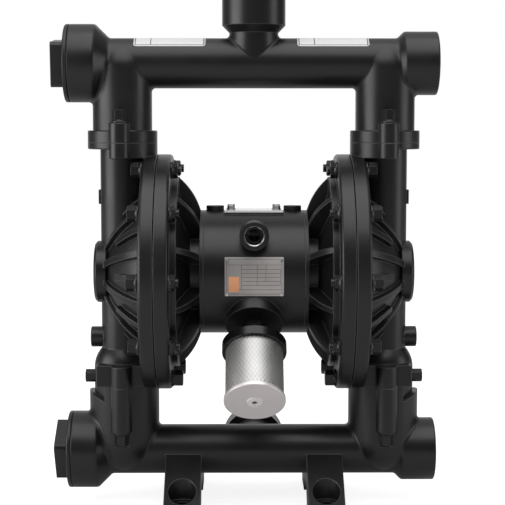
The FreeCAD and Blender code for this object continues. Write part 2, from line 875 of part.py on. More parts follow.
def portPlug(height, turn):
    """Threaded plug with a flange ring and a square head."""
    face = "-plugCollarStart - plugCollarLength"
    back = face + " - plugFlangeThickness"
    head = box("plugSquareLength", "plugSquare", "plugSquare", ("0", "0", "0"))
    head.Placement = FreeCAD.Placement(Vector(), Rotation(Vector(1, 0, 0), value(turn)))
    head.setExpression("Placement.Rotation.Angle", bound(turn))
    head.setExpression("Placement.Base.x", bound(back + " - plugSquareLength"))
    head.setExpression("Placement.Base.y", bound("-plugSquare / 2 * (cos(%s) - sin(%s))" % (turn, turn)))
    head.setExpression("Placement.Base.z",
                       bound("%s - plugSquare / 2 * (sin(%s) + cos(%s))" % (height, turn, turn)))
    corners = cylinder("plugSquareCorner", "plugSquareLength", (back + " - plugSquareLength", "0", height), "x")
    return fused(
        common(head, corners),
        rounded(cylinder("plugCollarRadius", "plugFlangeThickness", (back, "0", height), "x"),
                "collarEdge", "start"),
        cylinder("plugThreadRadius", "plugThreadLength", (face, "0", height), "x"),
    )


# Chambers
def fluidChamber():
    """Right-hand fluid chamber: flange, ribbed dome, riser, ball housing and joint flanges."""
    dome = newBody()
    crown = "endDiscEnd - endDiscChamfer"
    revolve(dome, [
        ("fluidFlangeStart", "0"),
        ("fluidFlangeStart", "flangeRadius"),
        ("fluidFlangeEnd - flangeEdge", "flangeRadius", "flangeEdge", 1),
        ("fluidFlangeEnd", "flangeRadius - flangeEdge"),
        ("fluidFlangeEnd", "domeRimRadius", "domeCurve", 1),
        ("domeEndX", "domeEndRadius"),
        ("domeEndX", "endDiscRadius"),
        (crown, "endDiscRadius"),
        ("endDiscEnd", "endDiscRadius - endDiscChamfer"),
        ("endDiscEnd", "0"),
    ])
    ribs(dome, [
        ("fluidFlangeEnd - ribRoot", "domeRimRadius - 2 * ribRoot"),
        ("fluidFlangeEnd - ribRoot", "ribRimRadius"),
        ("fluidFlangeEnd", "ribRimRadius", "ribCurve", 1),
        ("ribEndX", "ribEndRadius"),
        ("ribEndX", "domeEndRadius - 2 * ribRoot"),
    ], "fluidRibThickness")
    column = "columnHalf"
    riserStart = ("columnHalf", "0", "lowerJointHeight")
    topFlange = "upperJointHeight - chamberFlangeThickness"
    shoulderCentre = "housingShoulderTop - sqrt(housingRadius ^ 2 - riserRadius ^ 2)"
    solids = [
        dome,
        shortRibs(),
        cylinder("riserRadius", "upperJointHeight - lowerJointHeight", riserStart),
        cylinder("housingRadius", shoulderCentre + " - lowerJointHeight", riserStart),
        sphere("housingRadius", (column, "0", shoulderCentre)),
        rounded(cylinder("manifoldFlangeRadius", "chamberFlangeThickness", (column, "0", topFlange)),
                "castEdge", "start"),
        common(
            rounded(cylinder("manifoldFlangeRadius", "upperBossBelow",
                             (column, "0", "upperJointHeight - upperBossBelow")), "castEdge", "start"),
            box("manifoldFlangeRadius", "2 * manifoldFlangeRadius", "upperBossBelow",
                (column + " - manifoldFlangeRadius", "-manifoldFlangeRadius",
                 "upperJointHeight - upperBossBelow"))),
        box("footBlockOuter - fluidFlangeStart", "2 * footBlockHalfDepth", "footBlockThickness",
            ("fluidFlangeStart", "-footBlockHalfDepth", "lowerJointHeight")),
        box("riserRadius + riserPadProud", "riserPadSize", "riserPadSize",
            (column, "-riserPadSize / 2", "riserPadHeight - riserPadSize / 2")),
        rounded(cylinder("castBossRadius", "castBossEnd - columnHalf", (column, "0", "castBossHeight"), "x"),
                "castEdge", "end"),
        box("drainLugOut", "drainLugWidth", "drainLugHeight",
            (column, "-drainOffset - drainLugWidth / 2", "lowerJointHeight")),
    ]
    solids += frontAndBack(
        lambda y: rounded(cylinder("manifoldBossRadius", "upperBossBelow",
                                   (column, y, "upperJointHeight - upperBossBelow")), "castEdge", "start"))
    solids += frontAndBack(
        lambda y: cylinder("manifoldBossRadius", "footBlockThickness", (column, y, "lowerJointHeight")))
    cavity = turnedPiece([
        ("fluidFlangeStart - cutOver", "0"),
        ("fluidFlangeStart - cutOver", "seamLand"),
        ("diaphragmFluidSide", "seamLand"),
        ("diaphragmFluidSide", "beadOuter"),
        ("diaphragmFluidSide + beadDepth", "beadOuter"),
        ("diaphragmFluidSide + beadDepth", "beadInner"),
        ("diaphragmFluidSide", "beadInner"),
        ("diaphragmFluidSide", "cavityRadius", "fluidCavityCurve", 1),
        ("fluidCavityX", "fluidCavityRadius"),
        ("fluidCavityEnd", "fluidCavityEndRadius"),
        ("fluidCavityEnd", "0"),
    ])
    cuts = [
        cavity,
        cylinder("riserBore", "upperJointHeight - lowerJointHeight", riserStart),
        cylinder("seatPocket", "housingTop - lowerJointHeight", riserStart),
        cone("seatPocket", "riserBore", "seatPocket - riserBore", (column, "0", "housingTop")),
        cylinder("seatPocket", "seatSunk", (column, "0", "upperJointHeight - seatSunk")),
        box("footBlockOuter", "2 * flangeRadius", "lowerJointHeight",
            ("fluidFlangeStart - cutOver", "-flangeRadius", "0")),
        cylinder("drainThreadRadius + runningClearance", "drainThreadLength",
                 ("drainFace - drainThreadLength", "-drainOffset", "drainHeight"), "x"),
    ]
    cuts += frontAndBack(
        lambda y: cylinder("boltRadius + runningClearance", "manifoldScrewDepth",
                           (column, y, "upperJointHeight - manifoldScrewDepth")))
    cuts += frontAndBack(
        lambda y: cylinder("boltRadius + runningClearance", "manifoldScrewDepth",
                           (column, y, "lowerJointHeight")))
    for index, (y, z) in enumerate(boltPlaces("boltCircle", BOLT_COUNT, 0)):
        if isTapped(index):
            cuts.append(cylinder("boltRadius + runningClearance", "tappedScrewEnd - fluidFlangeStart",
                                 ("fluidFlangeStart", y, z), "x"))
        else:
            cuts.append(cylinder("boltHoleRadius", "fluidFlangeEnd - fluidFlangeStart",
                                 ("fluidFlangeStart", y, z), "x"))
    return cut(fused(*solids), *cuts)


def shortRibs():
    """Ribs between the long ones, from the flange to half way up the dome."""
    body = newBody()
    body.Placement.Rotation = Rotation(Vector(1, 0, 0), value("180 / ribCount"))
    body.setExpression("Placement.Rotation.Angle", bound("180 / ribCount"))
    body.AllowCompound = True
    ribs(body, [
        ("fluidFlangeEnd - ribRoot", "domeRimRadius - 2 * ribRoot"),
        ("fluidFlangeEnd - ribRoot", "ribRimRadius"),
        ("fluidFlangeEnd", "ribRimRadius", "ribCurve", 1),
        ("shortRibEndX", "shortRibEndRadius"),
        ("shortRibEndX - 2 * ribRoot", "shortRibEndRadius - ribRoot"),
    ], "fluidRibThickness")
    return body


BOLT_COUNT = int(DIMENSIONS["boltCount"])
HUB_SCREWS = int(DIMENSIONS["hubScrewCount"])


def isTapped(index):
    """Whether a bolt place lies over the fluid chamber's bottom block, which takes a tapped hole."""
    angle = math.radians(index * 360 / BOLT_COUNT)
    beside = abs(value("boltCircle") * math.cos(angle))
    return math.sin(angle) < 0 and beside < value("footBlockHalfDepth")


def airChamber():
    """Right-hand air chamber: hub, ribbed cone and flange."""
    shell = newBody()
    revolve(shell, [
        ("hubFace", "0"),
        ("hubFace", "centreRadius"),
        ("hubRimEnd", "centreRadius"),
        ("hubRimEnd", "hubRadius"),
        ("hubEnd", "hubRadius"),
        ("airRingStart", "airConeRadius"),
        ("airRingStart", "airRingRadius"),
        ("airFlangeStart", "airRingRadius"),
        ("airFlangeStart", "flangeRadius - flangeEdge", "flangeEdge", 1),
        ("airFlangeStart + flangeEdge", "flangeRadius"),
        ("airFlangeEnd", "flangeRadius"),
        ("airFlangeEnd", "0"),
    ])
    ribs(shell, [
        ("hubEnd", "hubRadius - ribRoot"),
        ("hubRimEnd", "hubRadius - ribRoot"),
        ("hubRimEnd", "centreRadius", "airRibCurve", 1),
        ("airRingStart", "airRibRimRadius"),
        ("airFlangeStart", "airRibRimRadius"),
        ("airFlangeStart", "airConeRadius - ribRoot"),
    ], "airRibThickness")
    cavity = turnedPiece([
        ("airFloor", "0"),
        ("airFloor", "airFloorRadius"),
        ("airCavityX", "airCavityRadius"),
        ("diaphragmAirSide", "cavityRadius"),
        ("diaphragmAirSide", "beadInner"),
        ("diaphragmAirSide - beadDepth", "beadInner"),
        ("diaphragmAirSide - beadDepth", "beadOuter"),
        ("diaphragmAirSide", "beadOuter"),
        ("diaphragmAirSide", "seamLand"),
        ("airFlangeEnd + cutOver", "seamLand"),
        ("airFlangeEnd + cutOver", "0"),
    ])
    cuts = [
        cavity,
        cylinder("bushRadius", "airFloor - hubFace", ("hubFace", "0", "axisHeight"), "x"),
        cylinder("pilotRadius + runningClearance", "airFloor - hubFace",
                 ("hubFace", "0", "axisHeight - pilotOffset"), "x"),
    ]
    for y, z in boltPlaces("boltCircle", BOLT_COUNT, 0):
        cuts.append(cylinder("boltHoleRadius", "airFlangeEnd - airFlangeStart", ("airFlangeStart", y, z), "x"))
    for y, z in boltPlaces("hubScrewCircle", HUB_SCREWS, 45):
        cuts.append(cylinder("hubScrewRadius + screwClearance", "airFloor - hubFace", ("hubFace", y, z), "x"))
        cuts.append(cylinder("hubScrewHead + screwClearance", "hubScrewHeadHeight",
                             ("airFloor - hubScrewHeadHeight", y, z), "x"))
    return cut(shell, *cuts)


def chamberBolts():
    """Flanged hex bolts through both flanges, heads on the outer side."""
    bolts = []
    for index, (y, z) in enumerate(boltPlaces("boltCircle", BOLT_COUNT, 0)):
        if isTapped(index):
            continue
        tail = "airFlangeStart - nutHeight - boltStudOut"
        bolts.append(fused(
            cylinder("boltRadius", "fluidFlangeEnd - (%s)" % tail, (tail, y, z), "x"),
            flangedHead("boltAcross", "boltWasherRadius", "boltHeadHeight", ("fluidFlangeEnd", y, z), "x"),
        ))
    return group(*bolts)


def chamberNuts():
    nuts = []
    for index, (y, z) in enumerate(boltPlaces("boltCircle", BOLT_COUNT, 0)):
        if isTapped(index):
            continue
        face = ("airFlangeStart", y, z)
        nuts.append(cut(
            flangedHead("boltAcross", "boltWasherRadius", "nutHeight", face, "left"),
            cylinder("boltRadius + runningClearance", "nutHeight", face, "left"),
        ))
    return group(*nuts)


def lowerFlangeScrews():
    """Screws from the air side into the fluid chamber's bottom block."""
    screws = []
    for index, (y, z) in enumerate(boltPlaces("boltCircle", BOLT_COUNT, 0)):
        if not isTapped(index):
            continue
        face = ("airFlangeStart", y, z)
        screws.append(fused(
            cylinder("boltRadius", "tappedScrewEnd - screwEndGap - airFlangeStart", face, "x"),
            flangedHead("boltAcross", "boltWasherRadius", "boltHeadHeight", face, "left"),
        ))
    return bothSides(group(*screws))


def manifoldBolts(seat, direction, inward, reach):
    """Flanged hex bolts of a manifold joint on the right-hand column."""
    def bolt(y):
        face = ("columnHalf", y, seat)
        return fused(
            cylinder("boltRadius", "%s + manifoldScrewDepth - screwEndGap" % reach, face, inward),
            flangedHead("manifoldBoltAcross", "manifoldWasherRadius", "manifoldHeadHeight", face, direction),
        )
    return bothSides(group(*frontAndBack(bolt)))


# Valves
def seat(top):
    """Ball seat: a ring with a bevelled mouth and a step for its O-ring."""
    x = "columnHalf"
    bottom = top + " - seatThickness"
    step = cut(
        cylinder("seatRadius + cutOver", "seatRingStep", (x, "0", top + " - seatRingStep")),
        cylinder("seatRadius - seatRingStep", "seatRingStep", (x, "0", top + " - seatRingStep")),
    )
    ring = cut(
        cylinder("seatRadius", "seatThickness", (x, "0", bottom)),
        cylinder("seatBore", "seatThickness", (x, "0", bottom)),
        cone("seatBore + seatBevel", "seatBore", "seatBevel", (x, "0", bottom)),
        step,
    )
    return ring


def seatRing(top):
    middle = "seatRingStep / 2"
    return torus("seatRadius - %s" % middle, "seatRingRadius", ("columnHalf", "0", "%s - %s" % (top, middle)))


def ball(side, seatTop):
    return sphere("ballRadius", (side + "columnHalf", "0", seatTop + " + ballRise"))


# Centre body and air valve
def alongAxis(radius, halfLength, rise="0", depth="0"):
    """A cylinder along X, centred on the pump's middle plane."""
    return cylinder(radius, "2 * (%s)" % halfLength,
                    ("-(%s)" % halfLength, depth, "axisHeight + " + rise), "x")


def centreBody():
    solids = [
        alongAxis("centreRadius", "hubFace"),
        rounded(cylinder("inletBossRadius", "inletFace - bossRoot",
                         ("0", "-bossRoot", "axisHeight + inletHeight"), "front"), "castEdge", "end"),
        onMufflerAxis("exhaustPadRadius", "bossRoot", "exhaustPadFace"),
        box("2 * topPadHalfLength", "2 * topPadHalfDepth", "topPadHeight - bossRoot",
            ("-topPadHalfLength", "-topPadHalfDepth", "axisHeight + bossRoot")),
    ]
    cuts = [
        box("2 * topPadHalfLength", "2 * topPadHalfDepth", "centreRadius",
            ("-topPadHalfLength", "-topPadHalfDepth", "axisHeight + topPadHeight")),
        alongAxis("rodRadius + rodBodyClearance", "hubFace"),
        alongAxis("pilotRadius + runningClearance", "hubFace", "-pilotOffset"),
        alongAxis("sleeveRadius", "hubFace", "valveRise", "valveSetback"),
        cylinder("inletTapRadius", "inletTapDepth", ("0", "-inletFace + inletTapDepth",
                                                     "axisHeight + inletHeight"), "front"),
        cylinder("inletPassage", "inletFace", ("0", "0", "axisHeight + inletHeight"), "front"),
        onMufflerAxis("mufflerStemRadius", "exhaustPadFace - mufflerStemThread - screwEndGap", "exhaustPadFace"),
        onMufflerAxis("mufflerStemBore", "exhaustPadFace - mufflerStemThread - exhaustPassage",
                      "exhaustPadFace - mufflerStemThread"),
    ]
    for x in ("topPlugX", "-topPlugX"):
        seatPlace = (x, "0", "axisHeight + topPlugSeat")
        cuts.append(cylinder("topPlugRadius + topPlugClearance", "topPlugSunk + cutOver", seatPlace))
        cuts.append(cylinder("topPlugThread + runningClearance", "topPlugThreadLength + screwEndGap",
                             seatPlace, "down"))
    for y, z in boltPlaces("hubScrewCircle", HUB_SCREWS, 45):
        for face, inward in (("hubFace", "left"), ("-hubFace", "x")):
            cuts.append(cylinder("hubScrewRadius + runningClearance", "hubScrewReach + screwEndGap",
                                 (face, y, z), inward))
    for x, y in coverCorners():
        cuts.append(cylinder("coverScrewRadius + runningClearance", "coverScrewDepth + screwEndGap",
                             (x, y, "axisHeight + topPadHeight"), "down"))
    return cut(fused(*solids), *cuts)


def coverCorners():
    x = "coverHalfLength - coverScrewInset"
    y = "coverHalfDepth - coverScrewInset"
    return [("%s(%s)" % (a, x), "%s(%s)" % (b, y)) for a in ("", "-") for b in ("", "-")]


def valveCover():
    plate = box("2 * coverHalfLength", "2 * coverHalfDepth", "coverThickness",
                ("-coverHalfLength", "-coverHalfDepth", "axisHeight + topPadHeight"))
    holes = [cylinder("coverScrewRadius + screwClearance", "coverThickness", (x, y, "axisHeight + topPadHeight"))
             for x, y in coverCorners()]
    return cut(plate, *holes)


def valveCoverScrews():
    top = "axisHeight + topPadHeight + coverThickness"
    return group(*[
        fused(
            cylinder("coverWasherRadius", "coverWasherHeight", (x, y, top)),
            hexagon("coverScrewAcross", "coverScrewHeadHeight", (x, y, top)),
            cylinder("coverScrewRadius", "coverThickness + coverScrewDepth", (x, y, top), "down"),
        )
        for x, y in coverCorners()
    ])


def topPlugs():
    seatHeight = "axisHeight + topPlugSeat"
    return bothSides(fused(
        rounded(cylinder("topPlugRadius", "topPlugHeight", ("topPlugX", "0", seatHeight)), "plugEdge", "end"),
        cylinder("topPlugThread", "topPlugThreadLength",
                 ("topPlugX", "0", seatHeight + " - topPlugThreadLength")),
    ))


def valveSleeve():
    holes = [
        cylinder("sleevePort", "2 * (sleeveRadius + cutOver)",
                 (x, "valveSetback - sleeveRadius - cutOver", "axisHeight + valveRise"), "y")
        for x in ("0", "sleevePortPitch", "-sleevePortPitch")
    ]
    return cut(
        alongAxis("sleeveRadius - runningClearance", "sleeveHalf", "valveRise", "valveSetback"),
        alongAxis("spoolRadius + runningClearance", "sleeveHalf", "valveRise", "valveSetback"),
        *holes)


def valveSpool():
    """Three lands joined by two waists."""
    waist = alongAxis("spoolWaist", "spoolHalf", "valveRise", "valveSetback")
    lands = [
        cylinder("spoolRadius", "spoolLand", (x, "valveSetback", "axisHeight + valveRise"), "x")
        for x in ("-spoolHalf", "-spoolLand / 2", "spoolHalf - spoolLand")
    ]
    return fused(waist, *lands)


def valveEndCaps():
    return bothSides(cylinder("sleeveRadius - runningClearance", "endCapLength",
                              ("sleeveHalf", "valveSetback", "axisHeight + valveRise"), "x"))


def nameplate():
    sheetMetal = cut(
        alongAxis("centreRadius + plateThickness", "plateHalfLength"),
        alongAxis("centreRadius", "plateHalfLength"),
    )
    reach = "(centreRadius + plateThickness + cutOver)"
    front = box("2 * plateHalfLength", reach, "2 * plateHalfHeight",
                ("-plateHalfLength", "-" + reach, "axisHeight + plateRise - plateHalfHeight"))
    return common(sheetMetal, front)


def nameplateRivets():
    rivets = []
    for x in ("plateHalfLength - plateRivetInset", "-plateHalfLength + plateRivetInset"):
        for angle in ("plateRivetAngle", "-plateRivetAngle"):
            rivets.append(putRadial(
                sized("Cylinder", Radius="plateRivetRadius", Height="plateRivetHeight"),
                angle, "centreRadius + plateThickness", x))
    return group(*rivets)


# Exhaust muffler, on an axis that slopes down to the front
def onMufflerAxis(radius, start, end):
    return putRadial(sized("Cylinder", Radius=radius, Height="%s - (%s)" % (end, start)), "-mufflerAngle", start)


def mufflerStem():
    hexPart = putRadial(
        sized("Prism", Circumradius="mufflerStemHex / 2 / cos(30)", Height="mufflerStemHexLength"),
        "-mufflerAngle", "exhaustPadFace")
    hexPart.Polygon = 6
    return cut(
        fused(
            onMufflerAxis("mufflerStemRadius - runningClearance", "exhaustPadFace - mufflerStemThread",
                          "mufflerCapStart"),
            hexPart,
        ),
        onMufflerAxis("mufflerStemBore", "exhaustPadFace - mufflerStemThread", "mufflerCapStart"),
    )


def mufflerCap():
    """Round cap with a wrench flat at the front."""
    ring = onMufflerAxis("mufflerCapRadius", "mufflerCapStart", "mufflerCapEnd")
    hole = onMufflerAxis("mufflerStemBore", "mufflerCapStart", "mufflerCapEnd")
    over = "(mufflerCapStart - cutOver)"
    far = "(mufflerCapFlat + mufflerCapRadius)"
    flat = sized("Box", Length="2 * mufflerCapRadius", Width="mufflerCapRadius",
                 Height="mufflerCapLength + 2 * cutOver")
    flat.Placement = FreeCAD.Placement(Vector(), Rotation(Vector(1, 0, 0), 90 + value("mufflerAngle")))
    flat.setExpression("Placement.Rotation.Angle", bound("90 + mufflerAngle"))
    flat.setExpression("Placement.Base.x", bound("-mufflerCapRadius"))
    flat.setExpression("Placement.Base.y", bound(
        "-cos(mufflerAngle) * %s - sin(mufflerAngle) * %s" % (over, far)))
    flat.setExpression("Placement.Base.z", bound(
        "axisHeight - sin(mufflerAngle) * %s + cos(mufflerAngle) * %s" % (over, far)))
    return cut(ring, flat, hole)


def mufflerMesh():
    return cut(
        onMufflerAxis("mufflerMeshRadius", "mufflerCapEnd", "mufflerEndStart"),
        onMufflerAxis("mufflerMeshRadius - mufflerMeshThickness", "mufflerCapEnd", "mufflerEndStart"),
    )


def mufflerEnd():
    """Turned end cap with a rounded rim and a hole under the eyelet."""
    disc = onMufflerAxis("mufflerEndRadius", "mufflerEndStart", "mufflerEndFace")
    return cut(rounded(disc, "mufflerEndEdge", "end"),
               onMufflerAxis("mufflerEyeletHole", "mufflerEndStart", "mufflerEndFace"))


def mufflerEyelet():
    """Rolled ring around the hole in the end cap."""
    ring = onMufflerAxis("mufflerEyeletRadius", "mufflerEndFace", "mufflerEndFace + mufflerEyeletProud")
    return cut(rounded(ring, "mufflerEyeletProud / 2", "end"),
               onMufflerAxis("mufflerEyeletHole", "mufflerEndFace", "mufflerEndFace + mufflerEyeletProud"))


def mufflerCore():
    return cut(
        onMufflerAxis("mufflerCoreRadius", "mufflerCapEnd", "mufflerEndStart"),
        onMufflerAxis("mufflerCoreBore", "mufflerCapEnd", "mufflerEndStart"),
    )


# Diaphragms and the rod that joins them
def diaphragm():
    """Rubber disc with a clamped bead and a rolling convolution."""
    airSide = "diaphragmAirSide"
    fluidSide = "diaphragmFluidSide"
    hole = "rodStudRadius + softGap"
    return turnedPiece([
        (airSide, hole),
        (airSide, "rollInner", "rollCurve", -1),
        (airSide, "rollOuter"),
        (airSide, "beadInner"),
        (airSide + " - beadDepth", "beadInner"),
        (airSide + " - beadDepth", "beadOuter"),
        (airSide, "beadOuter"),
        (airSide, "diaphragmRadius"),
        (fluidSide, "diaphragmRadius"),
        (fluidSide, "beadOuter"),
        (fluidSide + " + beadDepth", "beadOuter"),
        (fluidSide + " + beadDepth", "beadInner"),
        (fluidSide, "beadInner"),
        (fluidSide, "rollOuter", "rollCurve", 1),
        (fluidSide, "rollInner"),
        (fluidSide, hole),
    ])


def plateDisc(start, thickness, roundedStart):
    """Clamp plate with one rounded edge."""
    near = start
    far = "%s + %s" % (start, thickness)
    hole = "rodStudRadius + runningClearance"
    if roundedStart:
        corners = [
            (near, hole),
            (near, "plateRadius - plateEdge", "plateEdge", 1),
            (near + " + plateEdge", "plateRadius"),
            (far, "plateRadius"),
            (far, hole),
        ]
    else:
        corners = [
            (near, hole),
            (near, "plateRadius"),
            (far + " - plateEdge", "plateRadius", "plateEdge", 1),
            (far, "plateRadius - plateEdge"),
            (far, hole),
        ]
    return turnedPiece(corners)


def diaphragmRod():
    return fused(
        alongAxis("rodRadius", "innerPlateStart"),
        alongAxis("rodStudRadius", "rodStudEnd"),
    )


def rodNut():
    place = ("rodNutStart", "0", "axisHeight")
    return cut(
        hexagon("rodNutAcross", "rodNutThickness", place, "x"),
        cylinder("rodStudRadius + runningClearance", "rodNutThickness", place, "x"),
    )


def hubRing(start, end):
    """A bush or seal in the hub, around the rod."""
    return cut(
        cylinder("bushRadius", "%s - %s" % (end, start), (start, "0", "axisHeight"), "x"),
        cylinder("rodRadius + runningClearance", "%s - %s" % (end, start), (start, "0", "axisHeight"), "x"),
    )


def hubScrews():
    return bothSides(group(*[
        fused(
            cylinder("hubScrewHead", "hubScrewHeadHeight - hubScrewSunk",
                     ("airFloor - hubScrewHeadHeight", y, z), "x"),
            cylinder("hubScrewRadius", "airFloor - hubScrewHeadHeight - hubScrewEnd", ("hubScrewEnd", y, z), "x"),
        )
        for y, z in boltPlaces("hubScrewCircle", HUB_SCREWS, 45)
    ]))


def drainPlug():
    place = ("drainFace", "-drainOffset", "drainHeight")
    return fused(
        hexagon("drainAcross", "drainHeadLength", place, "x"),
        cylinder("drainThreadRadius", "drainThreadLength - screwEndGap", place, "left"),
    )


# The assembly
name("discharge_manifold", dischargeManifold())
name("suction_manifold", suctionManifold())
name("discharge_port_plug", portPlug("dischargeHeight", "dischargePlugTurn"))
name("suction_port_plug", portPlug("suctionHeight", "suctionPlugTurn"))
fluid = name("fluid_chamber_right", fluidChamber())
name("fluid_chamber_left", mirrored(fluid))
air = name("air_chamber_right", airChamber())
name("air_chamber_left", mirrored(air))
name("centre_body", centreBody())
name("air_valve_cover", valveCover())
name("air_valve_cover_screws", valveCoverScrews())
name("top_plugs", topPlugs())
name("valve_sleeve", valveSleeve())
name("valve_spool", valveSpool())
name("valve_end_caps", valveEndCaps())
name("nameplate", nameplate())
name("nameplate_rivets", nameplateRivets())
name("muffler_stem", mufflerStem())
name("muffler_cap", mufflerCap())
name("muffler_mesh", mufflerMesh())
name("muffler_core", mufflerCore())
name("muffler_end_cap", mufflerEnd())
name("muffler_eyelet", mufflerEyelet())
rightDiaphragm = name("diaphragm_right", diaphragm())
name("diaphragm_left", mirrored(rightDiaphragm))
name("diaphragm_rod", diaphragmRod())
name("inner_plates", bothSides(plateDisc("innerPlateStart", "innerPlateThickness", True)))
name("outer_plates", bothSides(plateDisc("outerPlateStart", "outerPlateThickness", False)))
name("rod_nuts", bothSides(rodNut()))
name("shaft_bushes", bothSides(hubRing("hubFace", "bushEnd")))
name("shaft_seals", bothSides(hubRing("bushEnd", "airFloor")))
name("pilot_rod", alongAxis("pilotRadius", "pilotEnd", "-pilotOffset"))
name("air_chamber_screws", hubScrews())
name("discharge_seats", bothSides(seat("upperSeatTop")))
name("suction_seats", bothSides(seat("lowerSeatTop")))
name("discharge_seat_rings", bothSides(seatRing("upperSeatTop")))
name("suction_seat_rings", bothSides(seatRing("lowerSeatTop")))
for level, seatTop in (("discharge", "upperSeatTop"), ("suction", "lowerSeatTop")):
    for side, sign in (("right", ""), ("left", "-")):
        name("%s_ball_%s" % (level, side), ball(sign, seatTop))
rightBolts = name("chamber_bolts_right", chamberBolts())
name("chamber_bolts_left", mirrored(rightBolts))
rightNuts = name("chamber_nuts_right", chamberNuts())
name("chamber_nuts_left", mirrored(rightNuts))
name("lower_flange_screws", lowerFlangeScrews())
name("discharge_manifold_bolts", manifoldBolts(
    "upperJointHeight + upperBossAbove", "z", "down", "upperBossAbove"))
name("suction_manifold_bolts", manifoldBolts("lowerBossBottom", "down", "z", "lowerBossLength"))
name("drain_plugs", bothSides(drainPlug()))

doc.recompute()

failed = [thing.Label for thing in doc.Objects if {"Invalid", "Error"} & set(thing.State)]
if failed:
    raise RuntimeError("failed to build: " + ", ".join(failed))
for piece in pieces:
    if piece.Shape.isNull() or not piece.Shape.isValid():
        raise RuntimeError("bad shape: " + piece.Label)

os.makedirs("parts", exist_ok=True)
for piece in pieces:
    piece.Shape.exportStep("parts/%s.step" % piece.Label)
    bounds = piece.Shape.optimalBoundingBox(False)
    print("%-26s %2d solids %10.0f mm3  x %.1f..%.1f  y %.1f..%.1f  z %.1f..%.1f" % (
        piece.Label, len(piece.Shape.Solids), piece.Shape.Volume, bounds.XMin, bounds.XMax,
        bounds.YMin, bounds.YMax, bounds.ZMin, bounds.ZMax))
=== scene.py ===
# Looks for the air-operated double diaphragm pump: finishes, threads, wire cloth, plate, stickers and studio.
import json
import math

import bmesh
import bpy
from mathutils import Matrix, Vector


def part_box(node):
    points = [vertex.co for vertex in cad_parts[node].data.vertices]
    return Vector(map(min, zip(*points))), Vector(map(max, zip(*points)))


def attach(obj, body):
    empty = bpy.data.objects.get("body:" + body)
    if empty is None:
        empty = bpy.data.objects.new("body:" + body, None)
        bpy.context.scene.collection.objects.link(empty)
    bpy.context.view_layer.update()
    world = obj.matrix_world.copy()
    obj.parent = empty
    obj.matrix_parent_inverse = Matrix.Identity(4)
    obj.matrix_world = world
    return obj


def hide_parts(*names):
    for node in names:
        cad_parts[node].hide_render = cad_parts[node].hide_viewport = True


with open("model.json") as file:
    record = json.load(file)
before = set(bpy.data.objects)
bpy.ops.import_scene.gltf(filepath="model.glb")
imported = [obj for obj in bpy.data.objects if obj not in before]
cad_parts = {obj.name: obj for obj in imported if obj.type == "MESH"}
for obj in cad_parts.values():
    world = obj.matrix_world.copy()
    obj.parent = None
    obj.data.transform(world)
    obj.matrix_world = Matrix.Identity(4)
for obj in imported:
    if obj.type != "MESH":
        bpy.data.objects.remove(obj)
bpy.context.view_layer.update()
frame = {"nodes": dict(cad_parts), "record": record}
mm = 0.001
frameBody = "pump_frame"
mounts = {mount["name"]: mount for mount in frame["record"]["mounts"]}
# The middle stretch of a noise's values, and a wider one
middleNoise = (0.3, 0.7)
wideNoise = (0.2, 0.8)
bevelSamples = 6
# Faces that meet at more degrees than this keep a sharp edge
sharpAngle = 40


# Node helpers. Sockets that share a name with another are given by their number
def feed(tree, socket, source):
    if isinstance(source, bpy.types.NodeSocket):
        tree.links.new(source, socket)
    else:
        socket.default_value = source


def addNode(tree, kind, inputs=None, **settings):
    made = tree.nodes.new(kind)
    for key, setting in settings.items():
        setattr(made, key, setting)
    for key, source in (inputs or {}).items():
        feed(tree, made.inputs[key], source)
    return made


def maths(tree, operation, first, second=0.0):
    return addNode(tree, "ShaderNodeMath", {0: first, 1: second}, operation=operation).outputs[0]


def vectorMaths(tree, operation, first, second=(0.0, 0.0, 0.0)):
    return addNode(tree, "ShaderNodeVectorMath", {0: first, 1: second}, operation=operation).outputs


def mixColours(tree, amount, first, second):
    return addNode(tree, "ShaderNodeMix", {0: amount, 6: first, 7: second}, data_type="RGBA").outputs[2]


def mixValues(tree, amount, first, second):
    return addNode(tree, "ShaderNodeMix", {0: amount, 2: first, 3: second}, data_type="FLOAT").outputs[0]


def spread(tree, source, low, high, newLow, newHigh):
    return addNode(tree, "ShaderNodeMapRange",
                   {0: source, 1: low, 2: high, 3: newLow, 4: newHigh}).outputs[0]


def noise(tree, vector, scale, detail, roughness):
    return addNode(tree, "ShaderNodeTexNoise",
                   {"Vector": vector, "Scale": scale, "Detail": detail, "Roughness": roughness}).outputs[0]


def objectPlace(tree):
    return addNode(tree, "ShaderNodeTexCoord").outputs["Object"]


def stretch(tree, vector, factors):
    return addNode(tree, "ShaderNodeMapping", {0: vector, 3: factors}).outputs[0]


def softEdges(tree, radius):
    return addNode(tree, "ShaderNodeBevel", {"Radius": radius}, samples=bevelSamples).outputs[0]


def bump(tree, height, strength, distance, normal):
    return addNode(tree, "ShaderNodeBump", {
        "Strength": strength, "Distance": distance, "Height": height, "Normal": normal}).outputs[0]


def grey(level, warmth=0.0):
    return (level * (1 + warmth), level, level * (1 - warmth), 1.0)


def newGroup(title, inputs, outputs):
    group = bpy.data.node_groups.new(title, "ShaderNodeTree")
    for label, kind, start in inputs:
        socket = group.interface.new_socket(name=label, in_out="INPUT", socket_type="NodeSocket" + kind)
        socket.default_value = start
    for label, kind in outputs:
        group.interface.new_socket(name=label, in_out="OUTPUT", socket_type="NodeSocket" + kind)
    source = group.nodes.new("NodeGroupInput")
    sink = group.nodes.new("NodeGroupOutput")
    return group, source.outputs, sink.inputs


